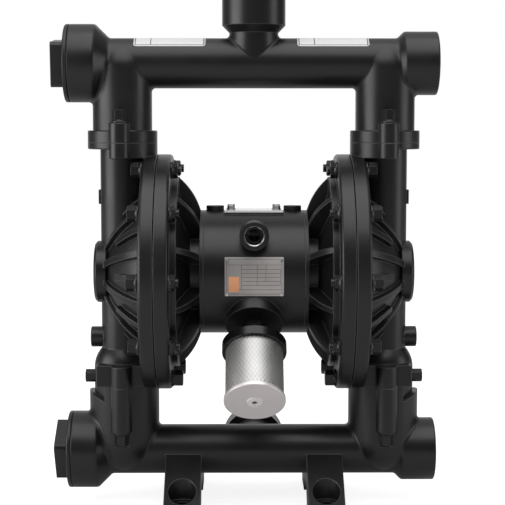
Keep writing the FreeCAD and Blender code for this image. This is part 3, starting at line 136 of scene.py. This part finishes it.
# Shared effects
def buildCastSkin():
    settings = {"rippleScale": 45.0, "rippleHeight": 0.6 * mm, "grainHeight": 0.2 * mm, "mottleScale": 17.0,
                "edgeStart": 0.995, "edgeFull": 0.86}
    group, given, result = newGroup(
        "castSkin",
        [("Grain Size", "Float", 1.2), ("Grain Depth", "Float", 0.2), ("Ripple Depth", "Float", 0.4),
         ("Edge Radius", "Float", 0.0012)],
        [("Normal", "Vector"), ("Edge", "Float"), ("Mottle", "Float"), ("Grain", "Float")])
    place = objectPlace(group)
    fineScale = maths(group, "DIVIDE", 1 / mm, given["Grain Size"])
    fine = noise(group, place, fineScale, detail=2.0, roughness=0.6)
    ripple = noise(group, place, settings["rippleScale"], detail=2.0, roughness=0.5)
    mottle = noise(group, place, settings["mottleScale"], detail=4.0, roughness=0.55)
    soft = softEdges(group, given["Edge Radius"])
    rippled = bump(group, ripple, given["Ripple Depth"], settings["rippleHeight"], soft)
    grained = bump(group, fine, given["Grain Depth"], settings["grainHeight"], rippled)
    flat = addNode(group, "ShaderNodeNewGeometry").outputs["Normal"]
    facing = vectorMaths(group, "DOT_PRODUCT", soft, flat)["Value"]
    edge = spread(group, facing, settings["edgeStart"], settings["edgeFull"], 0.0, 1.0)
    group.links.new(grained, result["Normal"])
    group.links.new(edge, result["Edge"])
    group.links.new(mottle, result["Mottle"])
    group.links.new(fine, result["Grain"])
    return group


def buildTurnedRings():
    settings = {"edgeRadius": 0.8 * mm, "ringHeight": 0.1 * mm}
    group, given, result = newGroup(
        "turnedRings",
        [("Place", "Vector", (0, 0, 0)), ("Pitch", "Float", 0.0006), ("Depth", "Float", 0.15)],
        [("Normal", "Vector"), ("Ring", "Float")])
    distance = vectorMaths(group, "LENGTH", given["Place"])["Value"]
    turns = maths(group, "DIVIDE", distance, given["Pitch"])
    wave = maths(group, "SINE", maths(group, "MULTIPLY", turns, math.tau))
    soft = softEdges(group, settings["edgeRadius"])
    group.links.new(bump(group, wave, given["Depth"], settings["ringHeight"], soft), result["Normal"])
    group.links.new(wave, result["Ring"])
    return group


castSkin = buildCastSkin()
turnedRings = buildTurnedRings()
print("shared effects built")


def useGroup(tree, group, **values):
    made = tree.nodes.new("ShaderNodeGroup")
    made.node_tree = group
    for key, source in values.items():
        feed(tree, made.inputs[key.replace("_", " ")], source)
    return made.outputs


def newMaterial(title, **plain):
    made = bpy.data.materials.new(title)
    made.use_nodes = True
    tree = made.node_tree
    shader = tree.nodes["Principled BSDF"]
    for key, value in plain.items():
        shader.inputs[key.replace("_", " ")].default_value = value
    return tree, shader


def wireUp(tree, shader, colour, rough, normal):
    tree.links.new(colour, shader.inputs["Base Color"])
    tree.links.new(rough, shader.inputs["Roughness"])
    tree.links.new(normal, shader.inputs["Normal"])


# Coated castings and fasteners
def coatedMetal(title, settings):
    tree, shader = newMaterial(title, Metallic=0.0, Specular_IOR_Level=settings["specular"])
    skin = useGroup(tree, castSkin, Grain_Size=settings["grainSize"], Grain_Depth=settings["grainDepth"],
                    Ripple_Depth=settings["ripple"], Edge_Radius=settings["edgeRadius"])
    patchy = mixColours(tree, skin["Mottle"], grey(settings["dark"]), grey(settings["light"], coatWarmth))
    # Rounded edges turn a lighter colour: partly wear, partly a painted highlight along the edges
    wornAndHighlit = maths(tree, "MULTIPLY", skin["Edge"], settings["wearAndHighlight"])
    colour = mixColours(tree, wornAndHighlit, patchy, grey(settings["wearAndHighlightColour"], coatWarmth))
    rough = spread(tree, skin["Mottle"], *middleNoise, settings["smooth"], settings["rough"])
    wireUp(tree, shader, colour, rough, skin["Normal"])


coatWarmth = 0.02
# Each finish's lighter edge colour and its share stand for wear together with a painted highlight on the
# edges
coatedFinishes = {
    "castBlack": {
        "dark": 0.005, "light": 0.011, "wearAndHighlightColour": 0.12, "wearAndHighlight": 0.7, "smooth": 0.3, "rough": 0.4,
        "grainSize": 1.1, "grainDepth": 0.2, "ripple": 0.25, "edgeRadius": 1.5 * mm, "specular": 0.5},
    "plugBlack": {
        "dark": 0.006, "light": 0.012, "wearAndHighlightColour": 0.04, "wearAndHighlight": 0.4, "smooth": 0.32, "rough": 0.42,
        "grainSize": 1.0, "grainDepth": 0.3, "ripple": 0.3, "edgeRadius": 1.8 * mm, "specular": 0.5},
    "boltBlack": {
        "dark": 0.005, "light": 0.012, "wearAndHighlightColour": 0.07, "wearAndHighlight": 0.5, "smooth": 0.26, "rough": 0.38,
        "grainSize": 0.7, "grainDepth": 0.12, "ripple": 0.1, "edgeRadius": 0.7 * mm, "specular": 0.5},
    "capBlack": {
        "dark": 0.004, "light": 0.008, "wearAndHighlightColour": 0.03, "wearAndHighlight": 0.4, "smooth": 0.22, "rough": 0.3,
        "grainSize": 0.6, "grainDepth": 0.06, "ripple": 0.08, "edgeRadius": 0.7 * mm, "specular": 0.45},
}
for title, settings in coatedFinishes.items():
    coatedMetal(title, settings)


# Bare metals, with fine lines drawn out along the brushing
def bareMetal(title, settings):
    scales = {"line": 900.0, "lineHeight": 0.1 * mm, "stain": 60.0}
    tree, shader = newMaterial(title, Metallic=settings.get("metal", 1.0))
    place = objectPlace(tree)
    stretched = stretch(tree, place, settings["brushing"])
    lines = noise(tree, stretched, scales["line"], detail=2.0, roughness=0.7)
    stain = noise(tree, place, scales["stain"], detail=3.0, roughness=0.5)
    colour = mixColours(tree, stain, settings["dark"], settings["light"])
    rough = spread(tree, lines, *wideNoise, settings["smooth"], settings["rough"])
    soft = softEdges(tree, settings["edgeRadius"])
    normal = bump(tree, lines, settings["depth"], scales["lineHeight"], soft)
    wireUp(tree, shader, colour, rough, normal)


unbrushed = (1, 1, 1)
brushedAcross = (0.04, 1, 1)
bareFinishes = {
    "stainless": {
        "dark": grey(0.6), "light": grey(0.74, 0.01), "smooth": 0.2, "rough": 0.36, "depth": 0.15,
        "brushing": brushedAcross, "edgeRadius": 0.5 * mm},
    # The valve cover is near white and hardly metallic: a painted reflection of the bright studio on its
    # sheet
    "coverSheet": {
        "dark": grey(0.93), "light": grey(0.98), "smooth": 0.16, "rough": 0.26, "depth": 0.06,
        "brushing": brushedAcross, "edgeRadius": 0.3 * mm, "metal": 0.15},
    "eyeletMetal": {
        "dark": grey(0.86, 0.03), "light": grey(0.92, 0.03), "smooth": 0.24, "rough": 0.34, "depth": 0.05,
        "brushing": unbrushed, "edgeRadius": 0.4 * mm, "metal": 0.3},
    "wireSteel": {
        "dark": grey(0.58, 0.01), "light": grey(0.7, 0.015), "smooth": 0.36, "rough": 0.46, "depth": 0.1,
        "brushing": unbrushed, "edgeRadius": 0.1 * mm},
    "linerSteel": {
        "dark": grey(0.5, 0.01), "light": grey(0.6, 0.01), "smooth": 0.4, "rough": 0.5, "depth": 0.1,
        "brushing": unbrushed, "edgeRadius": 0.1 * mm},
    "machinedIron": {
        "dark": grey(0.05), "light": grey(0.11, 0.02), "smooth": 0.3, "rough": 0.5, "depth": 0.2,
        "brushing": unbrushed, "edgeRadius": 0.2 * mm},
    "machinedBright": {
        "dark": grey(0.6), "light": grey(0.82), "smooth": 0.2, "rough": 0.34, "depth": 0.1,
        "brushing": unbrushed, "edgeRadius": 0.2 * mm},
    "groundSteel": {
        "dark": grey(0.55), "light": grey(0.66), "smooth": 0.15, "rough": 0.28, "depth": 0.1,
        "brushing": (0.05, 1, 1), "edgeRadius": 0.4 * mm},
    "bushBronze": {
        "dark": (0.42, 0.27, 0.11, 1), "light": (0.6, 0.42, 0.2, 1), "smooth": 0.25, "rough": 0.4,
        "depth": 0.2, "brushing": unbrushed, "edgeRadius": 0.4 * mm},
    "dullAluminium": {
        "dark": grey(0.5), "light": grey(0.64, 0.01), "smooth": 0.35, "rough": 0.5, "depth": 0.2,
        "brushing": unbrushed, "edgeRadius": 0.6 * mm},
}
for title, settings in bareFinishes.items():
    bareMetal(title, settings)


# Rubber and plastic inside the pump
def mouldedMaterial(title, settings):
    tree, shader = newMaterial(title, Metallic=0.0)
    skin = useGroup(tree, castSkin, Grain_Size=settings["grainSize"], Grain_Depth=settings["grainDepth"],
                    Ripple_Depth=settings["ripple"], Edge_Radius=settings["edgeRadius"])
    colour = mixColours(tree, skin["Mottle"], settings["dark"], settings["light"])
    rough = spread(tree, skin["Grain"], *middleNoise, settings["smooth"], settings["rough"])
    wireUp(tree, shader, colour, rough, skin["Normal"])


mouldedFinishes = {
    "blackRubber": {
        "dark": grey(0.014), "light": grey(0.026), "smooth": 0.6, "rough": 0.75,
        "grainSize": 0.8, "grainDepth": 0.3, "ripple": 0.1, "edgeRadius": 0.6 * mm},
    "palePlastic": {
        "dark": (0.76, 0.74, 0.68, 1), "light": (0.84, 0.82, 0.77, 1), "smooth": 0.3, "rough": 0.45,
        "grainSize": 0.6, "grainDepth": 0.1, "ripple": 0.1, "edgeRadius": 0.6 * mm},
}
for title, settings in mouldedFinishes.items():
    mouldedMaterial(title, settings)


def boxMiddle(node):
    low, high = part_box(node)
    return (low + high) / 2


# Muffler end cap: turned face with fine rings about its own centre
def turnedCap():
    settings = {"dark": (0.84, 0.785, 0.78, 1), "light": (0.94, 0.885, 0.875, 1), "metal": 0.85,
                "pitch": 1.1 * mm, "depth": 0.08, "stainScale": 70.0, "smooth": 0.38, "rough": 0.5}
    tree, shader = newMaterial("turnedCap", Metallic=settings["metal"])
    place = objectPlace(tree)
    away = vectorMaths(tree, "SUBTRACT", place, tuple(boxMiddle("muffler_end_cap")))[0]
    rings = useGroup(tree, turnedRings, Place=away, Pitch=settings["pitch"], Depth=settings["depth"])
    stain = noise(tree, place, settings["stainScale"], detail=4.0, roughness=0.6)
    colour = mixColours(tree, stain, settings["dark"], settings["light"])
    rough = spread(tree, stain, *middleNoise, settings["smooth"], settings["rough"])
    wireUp(tree, shader, colour, rough, rings["Normal"])


# Ruled lines of the nameplate, each from start to end at a level, along x or along z, in millimetres
def plateRules():
    settings = {"halfWide": 33.2, "halfTall": 20.9, "headLine": 14.2, "footLine": -15.6, "tableLeft": -15.5,
                "tableRight": 31.5, "firstRow": 9.0, "rowHeight": 4.8, "rows": 5, "columns": [3.5, 14.0]}
    wide = settings["halfWide"]
    tall = settings["halfTall"]
    left = settings["tableLeft"]
    right = settings["tableRight"]
    top = settings["headLine"]
    rows = [settings["firstRow"] - settings["rowHeight"] * row for row in range(settings["rows"])]
    rules = [(-wide, wide, level, "x") for level in (tall, -tall, top, settings["footLine"])]
    rules += [(-tall, tall, level, "z") for level in (wide, -wide)]
    rules += [(left, right, level, "x") for level in rows]
    rules += [(settings["footLine"], top, left, "z"), (rows[-1], rows[0], right, "z")]
    rules += [(rows[-1 - index], top, column, "z") for index, column in enumerate(settings["columns"])]
    return rules


# Nameplate: brushed sheet with ruled cells and a plain orange patch, no lettering, with cloudy tone and a
# painted sheen that grows brighter towards the lower right
def plateFinish():
    settings = {
        "ruleWidth": 0.55, "ruleShare": 0.75, "ruleColour": (0.06, 0.058, 0.056, 1),
        "panel": (-1.0, 31.0, -10.0, -5.6), "panelColour": (0.5, 0.46, 0.45, 1),
        "header": (-29.0, -6.0, 15.6, 19.4), "headerColour": (0.42, 0.39, 0.385, 1),
        "patch": (-30.6, -18.4, -18.4, 0.2), "patchColour": (0.95, 0.42, 0.22, 1),
        "brushing": (0.03, 1, 1), "brushScale": 1600.0,
        "brushShare": 0.35, "brushColour": (0.6, 0.57, 0.56, 1),
        "cloudScale": 38.0, "cloudShare": 0.6,
        # Slope, range and share of the painted sheen that lightens the plate towards its lower right
        "paintedSheenSlant": 1.2, "paintedSheenFrom": -55, "paintedSheenTo": 50, "paintedSheenShare": 0.5,
        "shade": (0.2, 0.205, 0.2, 1), "gleam": (0.64, 0.59, 0.57, 1),
        "metal": 0.5, "smooth": 0.32, "rough": 0.5, "edgeRadius": 0.3 * mm,
        "pressed": 0.5, "pressHeight": 0.1 * mm,
    }
    tree, shader = newMaterial("plateFinish")
    middle = boxMiddle("nameplate")
    place = objectPlace(tree)
    split = addNode(tree, "ShaderNodeSeparateXYZ", {0: place}).outputs
    across = maths(tree, "MULTIPLY", maths(tree, "SUBTRACT", split[0], middle.x), 1 / mm)
    up = maths(tree, "MULTIPLY", maths(tree, "SUBTRACT", split[2], middle.z), 1 / mm)

    def within(source, start, end):
        above = maths(tree, "GREATER_THAN", source, start)
        below = maths(tree, "LESS_THAN", source, end)
        return maths(tree, "MULTIPLY", above, below)

    def area(left, right, bottom, top):
        return maths(tree, "MULTIPLY", within(across, left, right), within(up, bottom, top))

    ruled = 0.0
    half = settings["ruleWidth"] / 2
    for start, end, level, way in plateRules():
        if way == "x":
            line = area(start, end, level - half, level + half)
        else:
            line = area(level - half, level + half, start, end)
        ruled = maths(tree, "MAXIMUM", ruled, line)
    stretched = stretch(tree, place, settings["brushing"])
    brushed = noise(tree, stretched, settings["brushScale"], detail=3.0, roughness=0.7)
    cloud = noise(tree, place, settings["cloudScale"], detail=3.0, roughness=0.6)
    # Painted sheen: a diagonal ramp lightens the plate towards its lower right; together with the cloudy tone
    # it mixes the shade colour towards the gleam colour
    paintedSheenSlant = maths(tree, "SUBTRACT", across, maths(tree, "MULTIPLY", up, settings["paintedSheenSlant"]))
    paintedSheen = spread(tree, paintedSheenSlant, settings["paintedSheenFrom"], settings["paintedSheenTo"], 0.0, settings["paintedSheenShare"])
    cloudAndPaintedSheen = maths(tree, "ADD", maths(tree, "MULTIPLY", cloud, settings["cloudShare"]), paintedSheen)
    painted = area(*settings["patch"])
    colour = mixColours(tree, cloudAndPaintedSheen, settings["shade"], settings["gleam"])
    for amount, layer in [
        (maths(tree, "MULTIPLY", brushed, settings["brushShare"]), "brushColour"),
        (area(*settings["panel"]), "panelColour"),
        (area(*settings["header"]), "headerColour"),
        (maths(tree, "MULTIPLY", ruled, settings["ruleShare"]), "ruleColour"),
        (painted, "patchColour"),
    ]:
        colour = mixColours(tree, amount, colour, settings[layer])
    bare = maths(tree, "SUBTRACT", 1.0, painted)
    tree.links.new(maths(tree, "MULTIPLY", bare, settings["metal"]), shader.inputs["Metallic"])
    rough = spread(tree, brushed, *wideNoise, settings["smooth"], settings["rough"])
    height = maths(tree, "SUBTRACT", 1.0, ruled)
    soft = softEdges(tree, settings["edgeRadius"])
    normal = bump(tree, height, settings["pressed"], settings["pressHeight"], soft)
    wireUp(tree, shader, colour, rough, normal)


turnedCap()
plateFinish()
print("finishes built")

# Each node's finish
finishes = {
    "castBlack": ["discharge_manifold", "suction_manifold", "fluid_chamber_right", "fluid_chamber_left",
                  "air_chamber_right", "air_chamber_left", "centre_body"],
    "plugBlack": ["discharge_port_plug", "suction_port_plug"],
    "boltBlack": ["chamber_bolts_right", "chamber_bolts_left", "chamber_nuts_right", "chamber_nuts_left",
                  "lower_flange_screws", "discharge_manifold_bolts", "suction_manifold_bolts", "drain_plugs",
                  "air_chamber_screws", "top_plugs"],
    "capBlack": ["muffler_cap", "muffler_stem"],
    # The valve cover's near-white colour is a painted reflection
    "coverSheet": ["air_valve_cover"],
    "stainless": ["air_valve_cover_screws", "nameplate_rivets"],
    "groundSteel": ["diaphragm_rod", "pilot_rod", "rod_nuts"],
    "dullAluminium": ["inner_plates", "outer_plates", "valve_spool", "valve_sleeve", "valve_end_caps"],
    "bushBronze": ["shaft_bushes"],
    "blackRubber": ["diaphragm_right", "diaphragm_left", "shaft_seals", "discharge_seat_rings",
                    "suction_seat_rings", "discharge_ball_right", "discharge_ball_left",
                    "suction_ball_right", "suction_ball_left"],
    "palePlastic": ["discharge_seats", "suction_seats"],
    "turnedCap": ["muffler_end_cap"],
    "eyeletMetal": ["muffler_eyelet"],
    "machinedIron": ["muffler_core"],
    "plateFinish": ["nameplate"],
    "wireSteel": ["muffler_mesh"],
}
for finish, nodes in finishes.items():
    for node in nodes:
        mesh = frame["nodes"][node].data
        mesh.materials.clear()
        mesh.materials.append(bpy.data.materials[finish])
missing = sorted(set(frame["nodes"]) - {node for nodes in finishes.values() for node in nodes})
print("nodes without a finish:", missing)


# Mesh helpers
def meshPiece(title, build, finish, smooth=True):
    shape = bmesh.new()
    build(shape)
    bmesh.ops.recalc_face_normals(shape, faces=shape.faces)
    mesh = bpy.data.meshes.new(title)
    shape.to_mesh(mesh)
    shape.free()
    for face in mesh.polygons:
        face.use_smooth = smooth
    if smooth:
        mesh.set_sharp_from_angle(angle=math.radians(sharpAngle))
    mesh.materials.append(bpy.data.materials[finish])
    piece = bpy.data.objects.new(title, mesh)
    bpy.context.scene.collection.objects.link(piece)
    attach(piece, frameBody)
    return piece


# Joins rings of points into a skin, each ring to the next
def sweepAround(shape, rings, closed=False):
    made = [[shape.verts.new(point) for point in ring] for ring in rings]
    pairs = list(zip(made, made[1:]))
    if closed:
        pairs.append((made[-1], made[0]))
    for here, there in pairs:
        for index in range(len(here)):
            after = (index + 1) % len(here)
            shape.faces.new((here[index], here[after], there[after], there[index]))
    if not closed:
        shape.faces.new(list(reversed(made[0])))
        shape.faces.new(made[-1])


# The direction that lies at an angle from one side direction towards another
def turned(angle, side, other):
    return math.cos(angle) * side + math.sin(angle) * other


# Pipe threads cut in the open ports and the air inlet, fading out at both ends
def addThread(title, mount, settings):
    inward = -Vector(mount["axis"])
    side = inward.orthogonal().normalized()
    other = inward.cross(side)
    radius = mount["dims"]["r_mm"] * mm
    mouth = Vector(mount["pos_m"]) - inward * (mount["dims"]["length_mm"] * mm / 2)
    perTurn = settings["stepsPerTurn"]
    steps = int(settings["length"] / settings["pitch"] * perTurn)
    foot = radius + settings["root"]
    half = settings["pitch"] * settings["footShare"]
    flat = half * settings["crestShare"]

    def build(shape):
        rings = []
        for step in range(steps + 1):
            out = turned(math.tau * step / perTurn, side, other)
            middle = mouth + inward * (settings["pitch"] * (step / perTurn + 0.5))
            fade = min(1.0, step / perTurn, (steps - step) / perTurn)
            crest = radius - settings["depth"] * max(fade, settings["leastFade"])
            rings.append([
                middle + out * foot - inward * half,
                middle + out * crest - inward * flat,
                middle + out * crest + inward * flat,
                middle + out * foot + inward * half,
            ])
        sweepAround(shape, rings)

    meshPiece(title, build, settings["finish"], smooth=False)


threadForm = {"root": 0.15 * mm, "footShare": 0.47, "crestShare": 0.15, "leastFade": 0.05}
portThread = {**threadForm, "pitch": 2.309 * mm, "depth": 1.0 * mm, "length": 20 * mm, "stepsPerTurn": 48,
              "finish": "machinedIron", "slot": "black_casting"}
inletThread = {**threadForm, "pitch": 1.814 * mm, "depth": 0.8 * mm, "length": 12.5 * mm, "stepsPerTurn": 40,
               "finish": "machinedBright", "slot": "bright_steel"}
for name, mount in mounts.items():
    if name == "air_inlet":
        addThread("inlet_thread", mount, inletThread)
    elif mount["kind"] == "threaded_hole":
        addThread(name + "_thread", mount, portThread)
print("threads cut")


# The muffler's middle, its two side directions, its axis, and the radius and length of its cloth
def mufflerPlace():
    low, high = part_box("muffler_mesh")
    middle = boxMiddle("muffler_mesh")
    along = (boxMiddle("muffler_end_cap") - middle).normalized()
    side = Vector((1, 0, 0))
    radius = (high.x - low.x) / 2
    length = ((high.y - low.y) - 2 * radius * abs(along.z)) / abs(along.y)
    return middle, side, along.cross(side), along, radius, length


# Wire cloth of the muffler, two families of crimped flat wires that cross
def addWireCloth():
    settings = {"wires": 44, "wide": 1.6 * mm, "thick": 0.8 * mm, "lean": 32, "crimp": 0.05 * mm, "sides": 6,
                "stepsPerCrossing": 2}
    middle, side, other, along, radius, length = mufflerPlace()
    wires = settings["wires"]
    twist = length * math.tan(math.radians(settings["lean"])) / radius
    crossings = wires * 2 * twist / math.tau
    steps = int(crossings * settings["stepsPerCrossing"])
    core = radius - settings["thick"] / 2 - settings["crimp"]
    corners = [math.tau * corner / settings["sides"] for corner in range(settings["sides"])]

    def wireRing(family, wire, part):
        angle = math.tau * wire / wires + family * twist * part
        crossing = wires * (angle + family * twist * part) / math.tau
        lift = family * (-1) ** wire * math.cos(math.pi * crossing) * settings["crimp"]
        out = turned(angle, side, other)
        sideways = out.cross(along)
        centre = middle + along * (length * (part - 0.5)) + out * (core + lift)
        return [centre + out * (math.cos(corner) * settings["thick"] / 2)
                + sideways * (math.sin(corner) * settings["wide"] / 2) for corner in corners]

    def build(shape):
        for family in (1, -1):
            for wire in range(wires):
                sweepAround(shape, [wireRing(family, wire, step / steps) for step in range(steps + 1)])

    cloth = meshPiece("muffler_wire_cloth", build, "wireSteel")
    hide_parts("muffler_mesh")


# Thin tube behind the wire cloth
def addLiner():
    settings = {"gap": 0.8 * mm, "wall": 0.7 * mm, "steps": 96}
    middle, side, other, along, radius, length = mufflerPlace()
    outer = radius - settings["gap"]
    inner = outer - settings["wall"]

    def build(shape):
        rings = []
        for step in range(settings["steps"]):
            out = turned(math.tau * step / settings["steps"], side, other)
            rings.append([middle + along * (length / 2 * end) + out * reach
                          for end, reach in ((-1, outer), (1, outer), (1, inner), (-1, inner))])
        sweepAround(shape, rings, closed=True)

    meshPiece("muffler_liner", build, "linerSteel")


addWireCloth()
addLiner()
print("wire cloth woven")


# Sticker paper, bare apart from a ruled frame with round corners and one divider
def stickerFinish(settings):
    tree, shader = newMaterial("stickerPaper", Metallic=0.0)
    flat = addNode(tree, "ShaderNodeUVMap", uv_map="flat").outputs[0]
    split = addNode(tree, "ShaderNodeSeparateXYZ", {0: flat}).outputs
    corner = settings["corner"]
    halfLine = settings["line"] / 2

    def over(source, half):
        return maths(tree, "SUBTRACT", maths(tree, "ABSOLUTE", source), half - corner)

    def near(source):
        return maths(tree, "LESS_THAN", maths(tree, "ABSOLUTE", source), halfLine)

    first = over(split[0], settings["long"] / 2)
    second = over(split[1], settings["tall"] / 2)
    past = addNode(tree, "ShaderNodeCombineXYZ", {
        0: maths(tree, "MAXIMUM", first, 0.0), 1: maths(tree, "MAXIMUM", second, 0.0)}).outputs[0]
    outside = vectorMaths(tree, "LENGTH", past)["Value"]
    inside = maths(tree, "MINIMUM", maths(tree, "MAXIMUM", first, second), 0.0)
    distance = maths(tree, "SUBTRACT", maths(tree, "ADD", outside, inside), corner)
    frameLine = near(maths(tree, "ADD", distance, settings["inset"]))
    divider = near(maths(tree, "ADD", split[0], settings["long"] / 2 - settings["cell"]))
    within = maths(tree, "LESS_THAN", distance, -settings["inset"])
    ink = maths(tree, "MAXIMUM", frameLine, maths(tree, "MULTIPLY", divider, within))
    paper = noise(tree, flat, settings["paperScale"], detail=2.0, roughness=0.5)
    white = mixColours(tree, paper, settings["dark"], settings["light"])
    colour = mixColours(tree, ink, white, settings["ink"])
    rough = spread(tree, paper, *middleNoise, settings["smooth"], settings["rough"])
    tree.links.new(colour, shader.inputs["Base Color"])
    tree.links.new(rough, shader.inputs["Roughness"])


# Heights of a sticker's rows, close together where its corners are round
def stickerLevels(settings):
    corner = settings["corner"]
    tall = settings["tall"]
    turns = [math.pi / 2 * step / settings["cornerSteps"] for step in range(settings["cornerSteps"] + 1)]
    low = [corner * (1 - math.cos(turn)) for turn in turns]
    high = [tall - level for level in reversed(low)]
    steps = settings["straightSteps"]
    return low + [corner + (tall - 2 * corner) * step / steps for step in range(1, steps)] + high


# A sticker bent round the discharge tube
def addSticker(title, left, settings):
    reach = settings["tubeRadius"] + settings["lift"]
    centre = settings["tubeHeight"]
    long = settings["long"]
    tall = settings["tall"]
    corner = settings["corner"]
    columns = settings["columns"]

    def build(shape):
        flat = shape.loops.layers.uv.new("flat")
        places = {}
        grid = []
        for level in stickerLevels(settings):
            short = min(level, tall - level)
            cutIn = 0.0
            if short < corner:
                cutIn = corner - math.sqrt(max(corner ** 2 - (corner - short) ** 2, 0.0))
            angle = math.radians(settings["lowAngle"]) + level / reach
            row = []
            for column in range(columns + 1):
                x = left + cutIn + (long - 2 * cutIn) * column / columns
                vert = shape.verts.new((x, -reach * math.cos(angle), centre + reach * math.sin(angle)))
                places[vert] = (x - left - long / 2, level - tall / 2)
                row.append(vert)
            grid.append(row)
        for lower, upper in zip(grid, grid[1:]):
            for column in range(columns):
                face = shape.faces.new((lower[column], lower[column + 1], upper[column + 1], upper[column]))
                for loop in face.loops:
                    loop[flat].uv = places[loop.vert]

    piece = meshPiece(title, build, "stickerPaper")
    thick = piece.modifiers.new("thickness", "SOLIDIFY")
    thick.thickness = settings["thickness"]
    thick.offset = 0


sticker = {"tubeHeight": mounts["discharge_port_side"]["pos_m"][2], "tubeRadius": 30.75 * mm,
           "lift": 0.16 * mm, "thickness": 0.15 * mm, "lowAngle": 40,
           "long": 88 * mm, "tall": 40 * mm, "corner": 3.5 * mm, "inset": 2.2 * mm, "line": 1.0 * mm,
           "cell": 21 * mm, "cornerSteps": 6, "straightSteps": 10, "columns": 24,
           "dark": (0.66, 0.66, 0.66, 1), "light": (0.72, 0.72, 0.72, 1), "ink": grey(0.05),
           "paperScale": 400.0, "smooth": 0.34, "rough": 0.42}
stickerEnds = {"sticker_left": -147 * mm, "sticker_right": 53 * mm}
stickerFinish(sticker)
for title, left in stickerEnds.items():
    addSticker(title, left, sticker)
print("stickers laid")


# Studio, with a floor that the camera sees nearly white and that keeps the pump's shadow
def buildStage():
    settings = {"size": 14.0, "shade": 0.45, "roughness": 0.9, "cameraGlow": 0.83, "glossGlow": 0.08,
                "sink": 0.4 * mm}
    tree, shader = newMaterial("stageFloor", Roughness=settings["roughness"], Specular_IOR_Level=0.0,
                               Base_Color=grey(settings["shade"]))
    path = addNode(tree, "ShaderNodeLightPath").outputs
    seen = maths(tree, "MULTIPLY", path["Is Camera Ray"], settings["cameraGlow"])
    level = maths(tree, "ADD", seen, maths(tree, "MULTIPLY", path["Is Glossy Ray"], settings["glossGlow"]))
    glow = addNode(tree, "ShaderNodeEmission", {"Color": grey(1.0), "Strength": level}).outputs[0]
    lit = addNode(tree, "ShaderNodeAddShader", {0: shader.outputs[0], 1: glow}).outputs[0]
    tree.links.new(lit, tree.nodes["Material Output"].inputs["Surface"])
    half = settings["size"] / 2
    mesh = bpy.data.meshes.new("stage_floor")
    corners = [(-half, -half, 0), (half, -half, 0), (half, half, 0), (-half, half, 0)]
    mesh.from_pydata(corners, [], [(0, 1, 2, 3)])
    mesh.materials.append(bpy.data.materials["stageFloor"])
    floor = bpy.data.objects.new("stage_floor", mesh)
    floor.location.z = -settings["sink"]
    bpy.context.scene.collection.objects.link(floor)


# World: white to the camera, even for soft light, and for reflections a bright backdrop and ceiling
def buildWorld():
    settings = {"studioLevel": 0.07, "ceilingLevel": 0.7, "ceilingStart": 0.5, "ceilingFull": 0.8,
                "backdropLevel": 0.9, "backdropStart": 0.7, "backdropFull": 0.94, "diffuseLevel": 0.6}
    world = bpy.data.worlds.new("studio")
    bpy.context.scene.world = world
    world.use_nodes = True
    tree = world.node_tree
    background = tree.nodes["Background"]
    path = addNode(tree, "ShaderNodeLightPath").outputs
    towards = addNode(tree, "ShaderNodeTexCoord").outputs["Generated"]
    split = addNode(tree, "ShaderNodeSeparateXYZ", {0: towards}).outputs

    def glowing(source, part):
        return spread(tree, source, settings[part + "Start"], settings[part + "Full"],
                      settings["studioLevel"], settings[part + "Level"])

    glossLevel = maths(tree, "MAXIMUM", glowing(split[1], "backdrop"), glowing(split[2], "ceiling"))
    direct = maths(tree, "MAXIMUM", path["Is Camera Ray"], path["Is Transmission Ray"])
    level = mixValues(tree, path["Is Glossy Ray"], settings["diffuseLevel"], glossLevel)
    tree.links.new(mixValues(tree, direct, level, 1.0), background.inputs["Strength"])
    background.inputs["Color"].default_value = (1, 1, 1, 1)


def addSoftbox(title, settings):
    lamp = bpy.data.lights.new(title, "AREA")
    lamp.shape = "RECTANGLE"
    lamp.size = settings["width"]
    lamp.size_y = settings["height"]
    lamp.energy = settings["power"]
    box = bpy.data.objects.new(title, lamp)
    bpy.context.scene.collection.objects.link(box)
    box.location = settings["place"]
    forward = Vector(settings["target"]) - Vector(settings["place"])
    box.rotation_euler = forward.to_track_quat("-Z", "Y").to_euler()


def buildCamera():
    settings = {"aim": (-1.6 * mm, 0.0, 313.5 * mm), "distance": 1812 * mm, "pitch": 5.1, "yaw": -0.4,
                "lens": 103.4, "sensor": 36.0, "clipEnd": 50}
    pitch = math.radians(settings["pitch"])
    yaw = math.radians(settings["yaw"])
    forward = Vector((-math.sin(yaw) * math.cos(pitch), math.cos(yaw) * math.cos(pitch), -math.sin(pitch)))
    lens = bpy.data.cameras.new("camera")
    lens.lens = settings["lens"]
    lens.sensor_width = settings["sensor"]
    lens.sensor_fit = "HORIZONTAL"
    lens.clip_end = settings["clipEnd"]
    camera = bpy.data.objects.new("camera", lens)
    bpy.context.scene.collection.objects.link(camera)
    camera.location = Vector(settings["aim"]) - forward * settings["distance"]
    camera.rotation_euler = forward.to_track_quat("-Z", "Y").to_euler()
    bpy.context.scene.camera = camera


softboxes = {
    "topBox": {"place": (0.0, -0.8, 2.4), "target": (0, 0, 0.35), "width": 2.2, "height": 2.4, "power": 26},
    "leftBox": {"place": (-2.1, -0.8, 0.5), "target": (0, 0, 0.3), "width": 1.7, "height": 1.9, "power": 37},
    "rightBox": {"place": (2.2, -0.5, 0.45), "target": (0, 0, 0.3), "width": 1.0, "height": 1.7, "power": 10},
}
buildStage()
buildWorld()
for title, settings in softboxes.items():
    addSoftbox(title, settings)
buildCamera()
bpy.context.scene.view_settings.view_transform = "Standard"
print("studio set")
